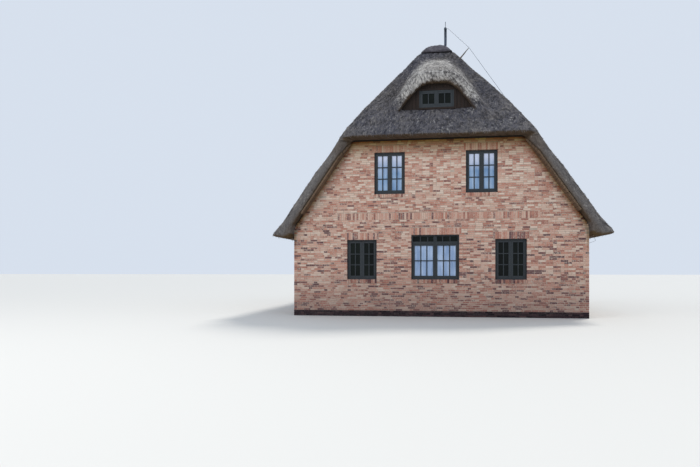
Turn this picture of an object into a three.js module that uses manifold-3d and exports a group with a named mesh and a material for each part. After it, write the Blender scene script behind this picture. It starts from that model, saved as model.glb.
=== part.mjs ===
// Thatched brick cottage with half-hipped gables and an eyebrow dormer.
// Millimetres, +Z up. The origin is on the ground under the middle of the house,
// the front gable faces -Y and the ridge runs along Y.
import * as THREE from "three";
import { mergeVertices } from "three/addons/utils/BufferGeometryUtils.js";
import Module from "manifold-3d";

const wasm = await Module();
wasm.setup();

// Clearance between pieces that touch, how far a cutting shape reaches past what it cuts,
// and a length that reaches past the whole house
const gap = 0.3;
const overcut = 300;
const far = 40000;
// Facets round each round piece
const facets = { wire: 8, rod: 12, mast: 16, rose: 20 };

// Plan of the brick walls
const house = { halfWidth: 4977, halfLength: 7000, wall: 360, plinthHeight: 200 };
const floors = {
  groundTop: 300,
  upperTop: 3200,
  upperThickness: 250,
  atticTop: 6100,
  atticThickness: 200,
};

// Roof: the top faces of the slopes, and the layers under them measured square to the slope
const roof = {
  slope: 1.4548,
  apex: 11006,
  hipSlope: 1.229,
  hipEaveTop: 6167,
  verge: 457,
  eaveReach: 5657,
  eaveFoot: 2680,
  hipEaveFoot: 6052,
  thatch: 366,
  boards: 60,
  boardSetBack: 40,
  top: 10000,
  hipSpan: 5000,
};
const cap = {
  halfWidth: 620,
  halfLength: 4310,
  edge: 35,
  rise: 390,
  rounding: 320,
  spare: 10,
  steps: 14,
};

// Windows: the axis of the front windows lies a little left of the middle of the gable
const windowAxis = -45;
const lower = { width: 1045, bottom: 1267, top: 2655, offset: 2526 };
const middle = { width: 1630, bottom: 1267, top: 2813, transom: 2540 };
const upper = { width: 1065, bottom: 4226, top: 5677, offset: 1561 };
const sash = { recess: 100, depth: 60, border: 118, mullion: 140, transom: 80, glass: 24 };
const side = { width: 1045, bottom: 1267, top: 2655 };
const leftWindows = { lower_front: -3600, lower_back: 3600 };
const rightWindows = { lower_back: 3600 };

// Entrance door on the right side
const door = {
  centre: -2600,
  width: 1060,
  top: 2400,
  recess: 100,
  frame: 80,
  depth: 70,
  leaf: 50,
  leafInset: 10,
};
const doorStep = { width: 1500, depth: 420, height: 150 };
const handle = { height: 1350, inset: 90, rose: 28, plate: 8, stand: 45, length: 130, radius: 10 };

// Eyebrow dormer in the front hip: a bell-shaped arch swept back and up,
// with the hood's inner and outer outlines as half widths and rise above its feet
const eyebrow = {
  lip: 100,
  face: 350,
  back: 3600,
  foot: 6852,
  climb: 0.56,
  sill: 7160,
  board: 50,
  boardShrink: 0.0006,
  steps: 12,
};
const innerArch = { flat: 300, spread: 1800, rise: 1218 };
const outerArch = { flat: 380, spread: 2150, rise: 1548 };
const eyebrowWindow = { width: 1200, bottom: 7250, top: 7850 };

// Lightning mast on the ridge, with the wire that runs down the right slope
const mast = {
  x: 335,
  y: -4000,
  foot: 10100,
  radius: 50,
  top: 11070,
  chamfer: 15,
  collar: 8,
  rod: 11300,
  rodRadius: 11,
  tip: 20,
  wireBelow: 60,
};
const wire = { radius: 6, y: -4610, lead: 60, aroundEave: 110, wallGap: 45, turnIn: 2390 };
const wirePost = { radius: 32, topRadius: 9, stand: 440, root: 60, lean: 50, upper: 920, lower: 5050 };

const materials = {
  brick: { color: 0xb4897a, roughness: 0.9, metalness: 0 },
  plinth: { color: 0x5a464c, roughness: 0.85, metalness: 0 },
  concrete: { color: 0x9a9791, roughness: 0.9, metalness: 0 },
  boards: { color: 0x6d5037, roughness: 0.8, metalness: 0 },
  thatch: { color: 0x6f675f, roughness: 1, metalness: 0 },
  cap: { color: 0x574d45, roughness: 1, metalness: 0 },
  frame: { color: 0x3a464c, roughness: 0.5, metalness: 0 },
  glass: { color: 0x9db4c4, roughness: 0.1, metalness: 0 },
  metal: { color: 0x77797b, roughness: 0.5, metalness: 0.8 },
  post: { color: 0x6b6157, roughness: 0.8, metalness: 0 },
  stone: { color: 0x8e8a84, roughness: 0.9, metalness: 0 },
};

const cottage = new THREE.Group();
cottage.name = "thatched_cottage";

// Turns a closed geometry into a solid that can be cut and joined
function solid(geometry) {
  const bare = geometry.index ? geometry.toNonIndexed() : geometry.clone();
  const points = new THREE.BufferGeometry();
  points.setAttribute("position", bare.getAttribute("position"));
  const merged = mergeVertices(points, 1e-3);
  return new wasm.Manifold(
    new wasm.Mesh({
      numProp: 3,
      vertProperties: merged.attributes.position.array,
      triVerts: new Uint32Array(merged.index.array),
    }),
  );
}

// Turns a solid back into a geometry
function geometryOf(made) {
  const mesh = made.getMesh();
  const geometry = new THREE.BufferGeometry();
  const count = mesh.numProp;
  const positions = new Float32Array(mesh.numVert * 3);
  for (let i = 0; i < mesh.numVert; i++) {
    positions.set(mesh.vertProperties.subarray(i * count, i * count + 3), i * 3);
  }
  geometry.setAttribute("position", new THREE.BufferAttribute(positions, 3));
  geometry.setIndex(new THREE.BufferAttribute(new Uint32Array(mesh.triVerts), 1));
  const flat = geometry.toNonIndexed();
  flat.computeVertexNormals();
  return flat;
}

// Adds a piece to the house as a named mesh with a material of its own
function addPiece(name, made, look) {
  const geometry = made.getMesh ? geometryOf(made) : made;
  const mesh = new THREE.Mesh(geometry, new THREE.MeshStandardMaterial(materials[look]));
  mesh.name = name;
  cottage.add(mesh);
  return mesh;
}

// A box between two corners
function box(low, high) {
  const size = high.map((value, i) => value - low[i]);
  const geometry = new THREE.BoxGeometry(...size);
  geometry.translate(...low.map((value, i) => value + size[i] / 2));
  return geometry;
}

// An outline of [across, up] points in the XZ plane, drawn out along Y
function alongY(outline, from, to) {
  const shape = new THREE.Shape(outline.map(([x, z]) => new THREE.Vector2(x, z)));
  const geometry = new THREE.ExtrudeGeometry(shape, { depth: to - from, bevelEnabled: false });
  geometry.rotateX(Math.PI / 2);
  geometry.translate(0, to, 0);
  return geometry;
}

// An outline of [along, up] points in the YZ plane, drawn out along X
function alongX(outline, from, to) {
  const shape = new THREE.Shape(outline.map(([y, z]) => new THREE.Vector2(y, z)));
  const geometry = new THREE.ExtrudeGeometry(shape, { depth: to - from, bevelEnabled: false });
  geometry.rotateX(Math.PI / 2);
  geometry.rotateZ(Math.PI / 2);
  geometry.translate(from, 0, 0);
  return geometry;
}

// A very large block whose near face passes through a point, square to a direction
function blockBeyond(point, direction) {
  const geometry = new THREE.BoxGeometry(far, far, far);
  geometry.translate(0, 0, far / 2);
  const turn = new THREE.Quaternion();
  turn.setFromUnitVectors(new THREE.Vector3(0, 0, 1), direction.clone().normalize());
  geometry.applyQuaternion(turn);
  geometry.translate(point.x, point.y, point.z);
  return solid(geometry);
}

// Outward directions of the four slopes
const slopeNormals = {
  right: new THREE.Vector3(roof.slope, 0, 1).normalize(),
  left: new THREE.Vector3(-roof.slope, 0, 1).normalize(),
  front: new THREE.Vector3(0, -roof.hipSlope, 1).normalize(),
  back: new THREE.Vector3(0, roof.hipSlope, 1).normalize(),
};
const downRight = new THREE.Vector3(1, 0, -roof.slope).normalize();
const vergeY = house.halfLength + roof.verge;

// A layer's drop straight down below the top face, from its depth square to the slope
function drop(depth, slope) {
  return depth * Math.hypot(1, slope);
}

// Heights of the slopes at a distance out from the ridge or back from the hip eave
function mainHeight(x, depth = 0) {
  return roof.apex - roof.slope * Math.abs(x) - drop(depth, roof.slope);
}

function hipHeight(y, depth = 0) {
  const back = vergeY - Math.abs(y);
  return roof.hipEaveTop + roof.hipSlope * back - drop(depth, roof.hipSlope);
}

// Distances at which the slopes pass a height
function mainReach(z, depth = 0) {
  return (roof.apex - drop(depth, roof.slope) - z) / roof.slope;
}

function hipReach(z, depth = 0) {
  return vergeY - (z - roof.hipEaveTop + drop(depth, roof.hipSlope)) / roof.hipSlope;
}

// The space under the roof, down from a depth below the top faces
function spaceUnder(depth) {
  const block = box([-far / 4, -far / 4, -overcut], [far / 4, far / 4, far / 4]);
  const right = new THREE.Vector3(mainReach(0, depth), 0, 0);
  const left = right.clone().negate();
  const front = new THREE.Vector3(0, -hipReach(0, depth), 0);
  const back = front.clone().negate();
  return solid(block)
    .subtract(blockBeyond(right, slopeNormals.right))
    .subtract(blockBeyond(left, slopeNormals.left))
    .subtract(blockBeyond(front, slopeNormals.front))
    .subtract(blockBeyond(back, slopeNormals.back));
}

// The mitre between two neighbouring slopes: everything on the side of the second one
function mitre(own, other) {
  const direction = new THREE.Vector3().subVectors(slopeNormals[own], slopeNormals[other]);
  direction.negate();
  const z = roof.hipEaveTop;
  const sideways = own === "left" || other === "left" ? -1 : 1;
  const lengthways = own === "front" || other === "front" ? -1 : 1;
  const corner = new THREE.Vector3(sideways * mainReach(z), lengthways * hipReach(z), z);
  const unit = direction.clone().normalize();
  corner.addScaledVector(unit, -gap / 2);
  return blockBeyond(corner, direction);
}

// Cuts a slope's slab at its mitres and level under the ridge cap
function trimSlope(slab, own, neighbours) {
  let made = slab;
  for (const other of neighbours) {
    made = made.subtract(mitre(own, other));
  }
  const above = box([-far / 2, -far / 2, roof.top], [far / 2, far / 2, far / 2]);
  return made.subtract(solid(above));
}

// Thatch of a long slope, from the trimmed eave up to the ridge
function mainThatchOutline(sign) {
  const wallFace = house.halfWidth + gap;
  return [
    [roof.eaveReach, mainHeight(roof.eaveReach)],
    [gap / 2, mainHeight(0)],
    [gap / 2, mainHeight(0, roof.thatch)],
    [wallFace, mainHeight(wallFace, roof.thatch)],
    [wallFace, roof.eaveFoot],
  ].map(([x, z]) => [sign * x, z]);
}

// Boards under the thatch of a long slope
function mainBoardsOutline(sign) {
  const upperFace = roof.thatch + gap;
  const lowerFace = roof.thatch + roof.boards;
  return [
    [house.halfWidth, mainHeight(house.halfWidth, upperFace)],
    [gap / 2, mainHeight(0, upperFace)],
    [gap / 2, mainHeight(0, lowerFace)],
    [house.halfWidth, mainHeight(house.halfWidth, lowerFace)],
  ].map(([x, z]) => [sign * x, z]);
}

// Thatch of a hip, from its level eave up to the ridge
function hipThatchOutline(sign) {
  const wallFace = house.halfLength + gap;
  return [
    [vergeY, roof.hipEaveTop],
    [0, hipHeight(0)],
    [0, hipHeight(0, roof.thatch)],
    [wallFace, hipHeight(wallFace, roof.thatch)],
    [wallFace, roof.hipEaveFoot],
  ].map(([y, z]) => [sign * y, z]);
}

function hipBoardsOutline(sign) {
  const upperFace = roof.thatch + gap;
  const lowerFace = roof.thatch + roof.boards;
  return [
    [house.halfLength, hipHeight(house.halfLength, upperFace)],
    [0, hipHeight(0, upperFace)],
    [0, hipHeight(0, lowerFace)],
    [house.halfLength, hipHeight(house.halfLength, lowerFace)],
  ].map(([y, z]) => [sign * y, z]);
}

// Height of an arch: level in the middle, falling to its feet like a bell
function archHeight(arch, x) {
  const t = THREE.MathUtils.clamp((Math.abs(x) - arch.flat) / (arch.spread - arch.flat), 0, 1);
  return eyebrow.foot + arch.rise * 0.5 * (1 + Math.cos(Math.PI * t));
}

// Points along an arch from left to right, with what is below a height cut off
function archPoints(arch, above) {
  const half = [];
  for (let i = 0; i <= eyebrow.steps; i++) {
    const x = (arch.spread * i) / eyebrow.steps;
    const z = archHeight(arch, x);
    if (z <= above) {
      const [lastX, lastZ] = half.at(-1);
      half.push([lastX + ((x - lastX) * (lastZ - above)) / (lastZ - z), above]);
      break;
    }
    half.push([x, z]);
  }
  const left = half.slice(1).map(([x, z]) => [-x, z]);
  return [...left.reverse(), ...half];
}

// Sweeps an outline back and up from the lip of the eyebrow
function sweepBack(outline, from, to) {
  const geometry = alongY(outline, from, to);
  const shear = new THREE.Matrix4().set(
    1, 0, 0, 0,
    0, 1, 0, 0,
    0, eyebrow.climb, 1, -eyebrow.climb * lipY,
    0, 0, 0, 1,
  );
  return solid(geometry.applyMatrix4(shear));
}

const lipY = -house.halfLength + eyebrow.lip;
const faceY = -house.halfLength + eyebrow.face;
const backY = -house.halfLength + eyebrow.back;

// The hollow behind the eyebrow's face, open to the attic, or a body that just fits in it
function eyebrowHollow(from, to, shrink = 0) {
  const sill = eyebrow.sill - eyebrow.climb * (faceY - lipY);
  const middleZ = sill + innerArch.rise / 3;
  const scale = 1 - shrink;
  const outline = archPoints(innerArch, sill);
  const shrunk = outline.map(([x, z]) => [x * scale, middleZ + (z - middleZ) * scale]);
  return sweepBack(shrunk, from, to);
}

// Hood of thatch over the eyebrow, resting on the hip
function addEyebrowThatch() {
  const [outer, inner] = [outerArch, innerArch].map((arch) => {
    const points = archPoints(arch, eyebrow.foot);
    return [[points[0][0], 0], ...points, [points.at(-1)[0], 0]];
  });
  const hip = new THREE.Vector3(0, -hipReach(0), 0).addScaledVector(slopeNormals.front, gap);
  const belowHip = blockBeyond(hip, slopeNormals.front.clone().negate());
  const under = sweepBack(inner, lipY - overcut, backY + overcut);
  const hood = sweepBack(outer, lipY, backY).subtract(under).subtract(belowHip);
  addPiece("eyebrow_thatch", hood, "thatch");
}

// Boarded face of the eyebrow, round its window
function addEyebrowFace() {
  const face = eyebrowHollow(faceY, faceY + eyebrow.board, eyebrow.boardShrink);
  const half = eyebrowWindow.width / 2;
  const low = [-half, faceY - overcut, eyebrowWindow.bottom];
  const high = [half, faceY + overcut, eyebrowWindow.top];
  addPiece("eyebrow_face", face.subtract(solid(box(low, high))), "boards");
}

// Roof: boards, thatch and ridge cap
function addRoof() {
  const hollow = eyebrowHollow(faceY, backY);
  const boardEnd = vergeY - roof.boardSetBack;
  for (const [sideName, sign] of [["left", -1], ["right", 1]]) {
    const thatch = solid(alongY(mainThatchOutline(sign), -vergeY, vergeY));
    addPiece(sideName + "_thatch", trimSlope(thatch, sideName, ["front", "back"]), "thatch");
    const boards = solid(alongY(mainBoardsOutline(sign), -boardEnd, boardEnd));
    addPiece(sideName + "_roof_boards", trimSlope(boards, sideName, ["front", "back"]), "boards");
  }
  for (const [endName, sign] of [["front", -1], ["back", 1]]) {
    const thatch = solid(alongX(hipThatchOutline(sign), -roof.hipSpan, roof.hipSpan));
    const boards = solid(alongX(hipBoardsOutline(sign), -roof.hipSpan, roof.hipSpan));
    let hipThatch = trimSlope(thatch, endName, ["left", "right"]);
    let hipBoards = trimSlope(boards, endName, ["left", "right"]);
    if (endName === "front") {
      hipThatch = hipThatch.subtract(hollow);
      hipBoards = hipBoards.subtract(hollow);
    }
    addPiece(endName + "_hip_thatch", hipThatch, "thatch");
    addPiece(endName + "_hip_boards", hipBoards, "boards");
  }
  addEyebrowThatch();
  addEyebrowFace();
  addRidgeCap();
}

// Domed cap of turf over the ridge, low and pointed at its long edges, with rounded ends
function addRidgeCap() {
  const base = roof.top + gap;
  const edgeZ = base + cap.edge;
  const dome = [];
  for (let i = 0; i <= cap.steps; i++) {
    const angle = (Math.PI * i) / cap.steps;
    dome.push([cap.halfWidth * Math.cos(angle), edgeZ + (cap.rise - cap.edge) * Math.sin(angle) ** 2]);
  }
  const outline = [[cap.halfWidth, base], ...dome, [-cap.halfWidth, base]];
  const loaf = solid(alongY(outline, -cap.halfLength, cap.halfLength));
  // Seen from the side the cap is a little taller than the dome, so that it only rounds the ends
  const end = [[-cap.halfLength, base - cap.spare], [-cap.halfLength, edgeZ]];
  for (let i = 0; i <= cap.steps / 2; i++) {
    const angle = (Math.PI * i) / cap.steps;
    const y = -cap.halfLength + cap.rounding * (1 - Math.cos(angle));
    end.push([y, edgeZ + (cap.rise + cap.spare - cap.edge) * Math.sin(angle)]);
  }
  const mirrored = end.map(([y, z]) => [-y, z]).reverse();
  const sideOutline = [...end, ...mirrored].reverse();
  const rounded = solid(alongX(sideOutline, -roof.hipSpan, roof.hipSpan));
  addPiece("ridge_cap", loaf.intersect(rounded), "cap");
}

// Cuts a window or door hole through a wall that faces along Y or along X
function cutHole(wall, axis, centre, width, bottom, top) {
  const low = axis === "y" ? [centre - width / 2, -far / 2] : [-far / 2, centre - width / 2];
  const high = axis === "y" ? [centre + width / 2, far / 2] : [far / 2, centre + width / 2];
  return wall.subtract(solid(box([...low, bottom], [...high, top])));
}

// The gable's windows as name, centre, width, bottom, top and height of a transom
const gableWindows = [
  ["lower_left", windowAxis - lower.offset, lower.width, lower.bottom, lower.top],
  ["lower_middle", windowAxis, middle.width, middle.bottom, middle.top, middle.transom],
  ["lower_right", windowAxis + lower.offset, lower.width, lower.bottom, lower.top],
  ["upper_left", windowAxis - upper.offset, upper.width, upper.bottom, upper.top],
  ["upper_right", windowAxis + upper.offset, upper.width, upper.bottom, upper.top],
];

// Gable walls with their five windows
function addGableWalls(innerSpace) {
  for (const [endName, sign] of [["front", -1], ["back", 1]]) {
    const outer = sign * house.halfLength;
    const inner = sign * (house.halfLength - house.wall);
    const low = [-house.halfWidth, Math.min(outer, inner), house.plinthHeight + gap];
    const high = [house.halfWidth, Math.max(outer, inner), roof.apex];
    let wall = solid(box(low, high)).intersect(innerSpace);
    for (const [, centre, width, bottom, top] of gableWindows) {
      wall = cutHole(wall, "y", -sign * centre, width, bottom, top);
    }
    addPiece(endName + "_gable_wall", wall, "brick");
  }
}

// Long walls between the gables, the right one with the door
function addSideWalls(innerSpace) {
  const end = house.halfLength - house.wall - gap;
  for (const [sideName, sign] of [["left", -1], ["right", 1]]) {
    const outer = sign * house.halfWidth;
    const inner = sign * (house.halfWidth - house.wall);
    const low = [Math.min(outer, inner), -end, house.plinthHeight + gap];
    const high = [Math.max(outer, inner), end, roof.apex];
    let wall = solid(box(low, high)).intersect(innerSpace);
    const centres = Object.values(sign < 0 ? leftWindows : rightWindows);
    for (const centre of centres) {
      wall = cutHole(wall, "x", centre, side.width, side.bottom, side.top);
    }
    if (sign > 0) {
      wall = cutHole(wall, "x", door.centre, door.width, floors.groundTop, door.top);
    }
    addPiece(sideName + "_wall", wall, "brick");
  }
}

// Plinth under the walls, and the floors between them
function addPlinthAndFloors(innerSpace) {
  const insideX = house.halfWidth - house.wall;
  const insideY = house.halfLength - house.wall;
  const corner = [house.halfWidth, house.halfLength, house.plinthHeight];
  const outer = solid(box([-house.halfWidth, -house.halfLength, 0], corner));
  const innerTop = [insideX, insideY, house.plinthHeight + overcut];
  const inner = solid(box([-insideX, -insideY, -overcut], innerTop));
  addPiece("plinth", outer.subtract(inner), "plinth");
  const x = insideX - gap;
  const y = insideY - gap;
  addPiece("ground_floor", box([-x, -y, 0], [x, y, floors.groundTop]), "concrete");
  const upperLow = floors.upperTop - floors.upperThickness;
  addPiece("upper_floor", box([-x, -y, upperLow], [x, y, floors.upperTop]), "boards");
  const atticLow = floors.atticTop - floors.atticThickness;
  const attic = solid(box([-x, -y, atticLow], [x, y, floors.atticTop])).intersect(innerSpace);
  addPiece("attic_floor", attic, "boards");
}

// A window in its own flat frame: across, up, and in from the outer face of the wall
function windowFrame(width, height, transomUp) {
  const half = width / 2 - gap;
  const frame = solid(box([-half, 0, gap], [half, sash.depth, height - gap]));
  const edge = half - sash.border;
  const middleEdge = sash.mullion / 2;
  const topEdge = height - sash.border;
  const bands = transomUp
    ? [[sash.border, transomUp - sash.transom / 2], [transomUp + sash.transom / 2, topEdge]]
    : [[sash.border, topEdge]];
  const lights = [];
  for (const [bottom, top] of bands) {
    lights.push(box([-edge, -overcut, bottom], [-middleEdge, sash.depth + overcut, top]));
    lights.push(box([middleEdge, -overcut, bottom], [edge, sash.depth + overcut, top]));
  }
  return lights.reduce((made, light) => made.subtract(solid(light)), frame);
}

function windowGlass(width, height) {
  const half = width / 2 - gap;
  const front = sash.depth + gap;
  return box([-half, front, gap], [half, front + sash.glass, height - gap]);
}

// Places a frame and its glass in a wall that is turned round the house
function addWindow(name, width, height, transomUp, place) {
  const frame = addPiece(name + "_frame", windowFrame(width, height, transomUp), "frame");
  const glass = addPiece(name + "_glass", windowGlass(width, height), "glass");
  for (const mesh of [frame, glass]) {
    mesh.position.set(place.x, place.y, place.z);
    mesh.rotation.z = place.turn;
  }
}

function addWindows() {
  const gableY = house.halfLength - sash.recess;
  const sideX = house.halfWidth - sash.recess;
  for (const [windowName, centre, width, bottom, top, transom] of gableWindows) {
    const transomUp = transom ? transom - bottom : 0;
    const front = { x: centre, y: -gableY, z: bottom, turn: 0 };
    const back = { x: -centre, y: gableY, z: bottom, turn: Math.PI };
    addWindow("front_" + windowName, width, top - bottom, transomUp, front);
    addWindow("back_" + windowName, width, top - bottom, transomUp, back);
  }
  for (const [windowName, y] of Object.entries(leftWindows)) {
    const place = { x: -sideX, y, z: side.bottom, turn: -Math.PI / 2 };
    addWindow("left_" + windowName, side.width, side.top - side.bottom, 0, place);
  }
  for (const [windowName, y] of Object.entries(rightWindows)) {
    const place = { x: sideX, y, z: side.bottom, turn: Math.PI / 2 };
    addWindow("right_" + windowName, side.width, side.top - side.bottom, 0, place);
  }
  const place = { x: 0, y: faceY, z: eyebrowWindow.bottom, turn: 0 };
  addWindow("eyebrow_window", eyebrowWindow.width, eyebrowWindow.top - eyebrowWindow.bottom, 0, place);
}

// Entrance door: frame, closed leaf, handle and a step outside
function addDoor() {
  const outer = house.halfWidth - door.recess;
  const inner = outer - door.depth;
  const half = door.width / 2 - gap;
  const bottom = floors.groundTop + gap;
  const low = [inner, door.centre - half, bottom];
  const high = [outer, door.centre + half, door.top - gap];
  const clear = half - door.frame;
  const hole = box(
    [inner - overcut, door.centre - clear, bottom + door.frame / 2],
    [outer + overcut, door.centre + clear, door.top - door.frame],
  );
  addPiece("door_frame", solid(box(low, high)).subtract(solid(hole)), "frame");
  const leafHalf = clear - gap;
  const leafFront = outer - door.leafInset;
  addPiece(
    "door_leaf",
    box(
      [leafFront - door.leaf, door.centre - leafHalf, bottom + door.frame / 2 + gap],
      [leafFront, door.centre + leafHalf, door.top - door.frame - gap],
    ),
    "frame",
  );
  addDoorHandle(leafFront + gap, door.centre + leafHalf - handle.inset);
  const stepX = house.halfWidth + gap;
  const stepHalf = doorStep.width / 2;
  const stepLow = [stepX, door.centre - stepHalf, 0];
  const stepHigh = [stepX + doorStep.depth, door.centre + stepHalf, doorStep.height];
  addPiece("door_step", box(stepLow, stepHigh), "stone");
}

// Lever handle: a round rose, a neck and a lever that points to the hinges
function addDoorHandle(x, y) {
  const rose = new THREE.CylinderGeometry(handle.rose, handle.rose, handle.plate, facets.rose);
  rose.rotateZ(Math.PI / 2).translate(x + handle.plate / 2, y, handle.height);
  const neck = new THREE.CylinderGeometry(handle.radius, handle.radius, handle.stand, facets.rod);
  neck.rotateZ(Math.PI / 2).translate(x + handle.stand / 2, y, handle.height);
  const lever = new THREE.BoxGeometry(2 * handle.radius, handle.length, 2 * handle.radius);
  lever.translate(x + handle.stand, y + handle.radius - handle.length / 2, handle.height);
  addPiece("door_handle", solid(rose).add(solid(neck)).add(solid(lever)), "metal");
}

// Mast with a thin rod on top, standing on the ridge cap
function addMast(capSolid) {
  const profile = [
    [0, mast.foot],
    [mast.radius, mast.foot],
    [mast.radius, mast.top - mast.chamfer],
    [mast.rodRadius + mast.collar, mast.top],
    [mast.rodRadius, mast.top],
    [mast.rodRadius, mast.rod - mast.tip],
    [0, mast.rod],
  ].map(([r, z]) => new THREE.Vector2(r, z));
  const geometry = new THREE.LatheGeometry(profile, facets.mast);
  geometry.rotateX(Math.PI / 2).translate(mast.x, mast.y, 0);
  const grown = solid(capSolid).translate([0, 0, gap]);
  addPiece("lightning_mast", solid(geometry).subtract(grown), "metal");
}

// A post that leans up out of the right slope, and the point that the wire has over it
function postOnSlope(x) {
  const foot = new THREE.Vector3(x, wire.y, mainHeight(x));
  const lean = THREE.MathUtils.degToRad(wirePost.lean);
  const direction = new THREE.Vector3(Math.cos(lean), 0, Math.sin(lean));
  const length = wirePost.stand + wirePost.root;
  const geometry = new THREE.CylinderGeometry(wirePost.topRadius, wirePost.radius, length, facets.rod);
  geometry.rotateX(Math.PI / 2);
  geometry.translate(0, 0, length / 2 - wirePost.root);
  const turn = new THREE.Quaternion().setFromUnitVectors(new THREE.Vector3(0, 0, 1), direction);
  geometry.applyQuaternion(turn);
  geometry.translate(foot.x, foot.y, foot.z);
  const surface = foot.clone().addScaledVector(slopeNormals.right, gap);
  const belowSurface = blockBeyond(surface, slopeNormals.right.clone().negate());
  const fall = -direction.dot(downRight);
  const above = (wire.radius + gap + wirePost.topRadius * fall) / Math.sqrt(1 - fall * fall);
  const over = foot.clone().addScaledVector(direction, wirePost.stand + above);
  return { made: solid(geometry).subtract(belowSurface), over };
}

// Wire from the mast over the posts, round the eave, and down the wall to the ground
function addWire() {
  const upperPost = postOnSlope(wirePost.upper);
  const lowerPost = postOnSlope(wirePost.lower);
  addPiece("wire_post_upper", upperPost.made, "post");
  addPiece("wire_post_lower", lowerPost.made, "post");
  const wallX = house.halfWidth + wire.wallGap;
  const start = new THREE.Vector3(mast.x + mast.radius + gap, mast.y, mast.top - mast.wireBelow);
  const route = [
    start,
    start.clone().setX(start.x + wire.lead),
    upperPost.over,
    lowerPost.over,
    lowerPost.over.clone().addScaledVector(downRight, wire.lead),
    new THREE.Vector3(roof.eaveReach + wire.aroundEave, wire.y, roof.eaveFoot),
    new THREE.Vector3(wallX, wire.y, wire.turnIn),
    new THREE.Vector3(wallX, wire.y, gap),
  ];
  addPiece("lightning_wire", wireAlong(route), "metal");
}

// A route of straight lengths, sampled at its bends, where its direction is the mean of both
class BentRoute extends THREE.Curve {
  constructor(points) {
    super();
    this.points = points;
  }

  getPoint(t, target = new THREE.Vector3()) {
    const last = this.points.length - 1;
    const i = Math.min(Math.floor(t * last), last - 1);
    return target.lerpVectors(this.points[i], this.points[i + 1], t * last - i);
  }

  getPointAt(u, target) {
    return this.getPoint(u, target);
  }

  getTangentAt(u, target = new THREE.Vector3()) {
    const last = this.points.length - 1;
    const i = Math.round(u * last);
    const before = Math.max(i - 1, 0);
    const after = Math.min(i + 1, last);
    target.set(0, 0, 0);
    for (const start of [before, after - 1]) {
      const length = new THREE.Vector3().subVectors(this.points[start + 1], this.points[start]);
      target.add(length.normalize());
    }
    return target.normalize();
  }
}

function wireAlong(points) {
  const ring = [];
  for (let i = 0; i < facets.wire; i++) {
    const angle = (2 * Math.PI * i) / facets.wire;
    ring.push(new THREE.Vector2(wire.radius * Math.cos(angle), wire.radius * Math.sin(angle)));
  }
  const settings = { steps: points.length - 1, extrudePath: new BentRoute(points) };
  return new THREE.ExtrudeGeometry(new THREE.Shape(ring), settings);
}

const innerSpace = spaceUnder(roof.thatch + roof.boards + gap);
addPlinthAndFloors(innerSpace);
addGableWalls(innerSpace);
addSideWalls(innerSpace);
addRoof();
addWindows();
addDoor();
addMast(cottage.getObjectByName("ridge_cap").geometry);
addWire();

export default cottage;
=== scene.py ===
# Looks of the thatched cottage: laid bricks, reed thatch, turf cap, barred casements, boards and metal.
# Metres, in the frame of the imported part: the front gable faces -Y and the ridge runs along Y.
import math

import bmesh
import bpy
import numpy as np
from mathutils import Matrix, Vector, noise


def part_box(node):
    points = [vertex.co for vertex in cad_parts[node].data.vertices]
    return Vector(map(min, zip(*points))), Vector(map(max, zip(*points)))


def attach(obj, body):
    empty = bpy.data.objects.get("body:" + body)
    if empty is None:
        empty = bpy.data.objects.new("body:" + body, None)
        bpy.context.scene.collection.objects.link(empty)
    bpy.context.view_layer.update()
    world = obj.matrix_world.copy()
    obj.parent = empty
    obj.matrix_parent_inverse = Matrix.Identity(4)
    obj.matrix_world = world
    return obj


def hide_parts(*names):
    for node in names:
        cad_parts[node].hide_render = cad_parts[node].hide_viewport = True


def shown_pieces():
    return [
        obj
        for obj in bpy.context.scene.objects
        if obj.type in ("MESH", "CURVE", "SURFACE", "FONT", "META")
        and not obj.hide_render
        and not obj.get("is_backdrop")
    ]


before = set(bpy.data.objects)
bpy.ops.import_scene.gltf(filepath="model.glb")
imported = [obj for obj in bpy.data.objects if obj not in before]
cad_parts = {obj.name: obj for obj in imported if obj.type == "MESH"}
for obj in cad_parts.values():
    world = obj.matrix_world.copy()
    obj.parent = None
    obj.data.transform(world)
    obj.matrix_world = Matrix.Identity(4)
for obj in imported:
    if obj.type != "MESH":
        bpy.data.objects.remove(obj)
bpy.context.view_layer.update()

# The roof's top faces and the depth of its layers, as the part has them
roofShape = {
    "apex": 11.006, "slope": 1.4548, "hipEave": 6.167, "hipSlope": 1.229, "verge": 7.457,
    "layers": 0.426, "eaveFoot": 2.68, "hipEaveFoot": 6.052,
}
# How long a slope and a hip are for each metre across
slopeLength = math.hypot(1, roofShape["slope"])
hipLength = math.hypot(1, roofShape["hipSlope"])
wallTurns = {"front": 0, "right": 90, "back": 180, "left": -90}


def slopeHeight(x, depth=0.0):
    return roofShape["apex"] - roofShape["slope"] * abs(x) - depth * slopeLength


def hipHeight(y):
    return roofShape["hipEave"] + roofShape["hipSlope"] * (roofShape["verge"] - abs(y))


def slopeReach(z, depth):
    return (slopeHeight(0, depth) - z) / roofShape["slope"]


# Camera, floor and lights

cameraValues = {
    "place": (0.083, -27.73, 1.596), "turn": 8.42, "lens": 30.89, "lift": 0.0524, "farEnd": 1000,
}
stageValues = {
    "floor": (0.60, 0.60, 0.58), "floorSize": 400, "sky": (0.80, 0.88, 1.0), "skyStrength": 0.85,
    "sunTurn": 150, "sunHeight": 50, "sunDistance": 30, "sunStrength": 2.4, "sunSpread": 14,
    "sunColour": (1.0, 0.95, 0.88), "fillPlace": (-14, -26, 16), "fillTarget": (0, -7, 3),
    "fillSize": 14, "fillPower": 1500, "fillColour": (1.0, 0.97, 0.93),
}


def linkObject(name, data):
    made = bpy.data.objects.new(name, data)
    bpy.context.scene.collection.objects.link(made)
    return made


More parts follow.
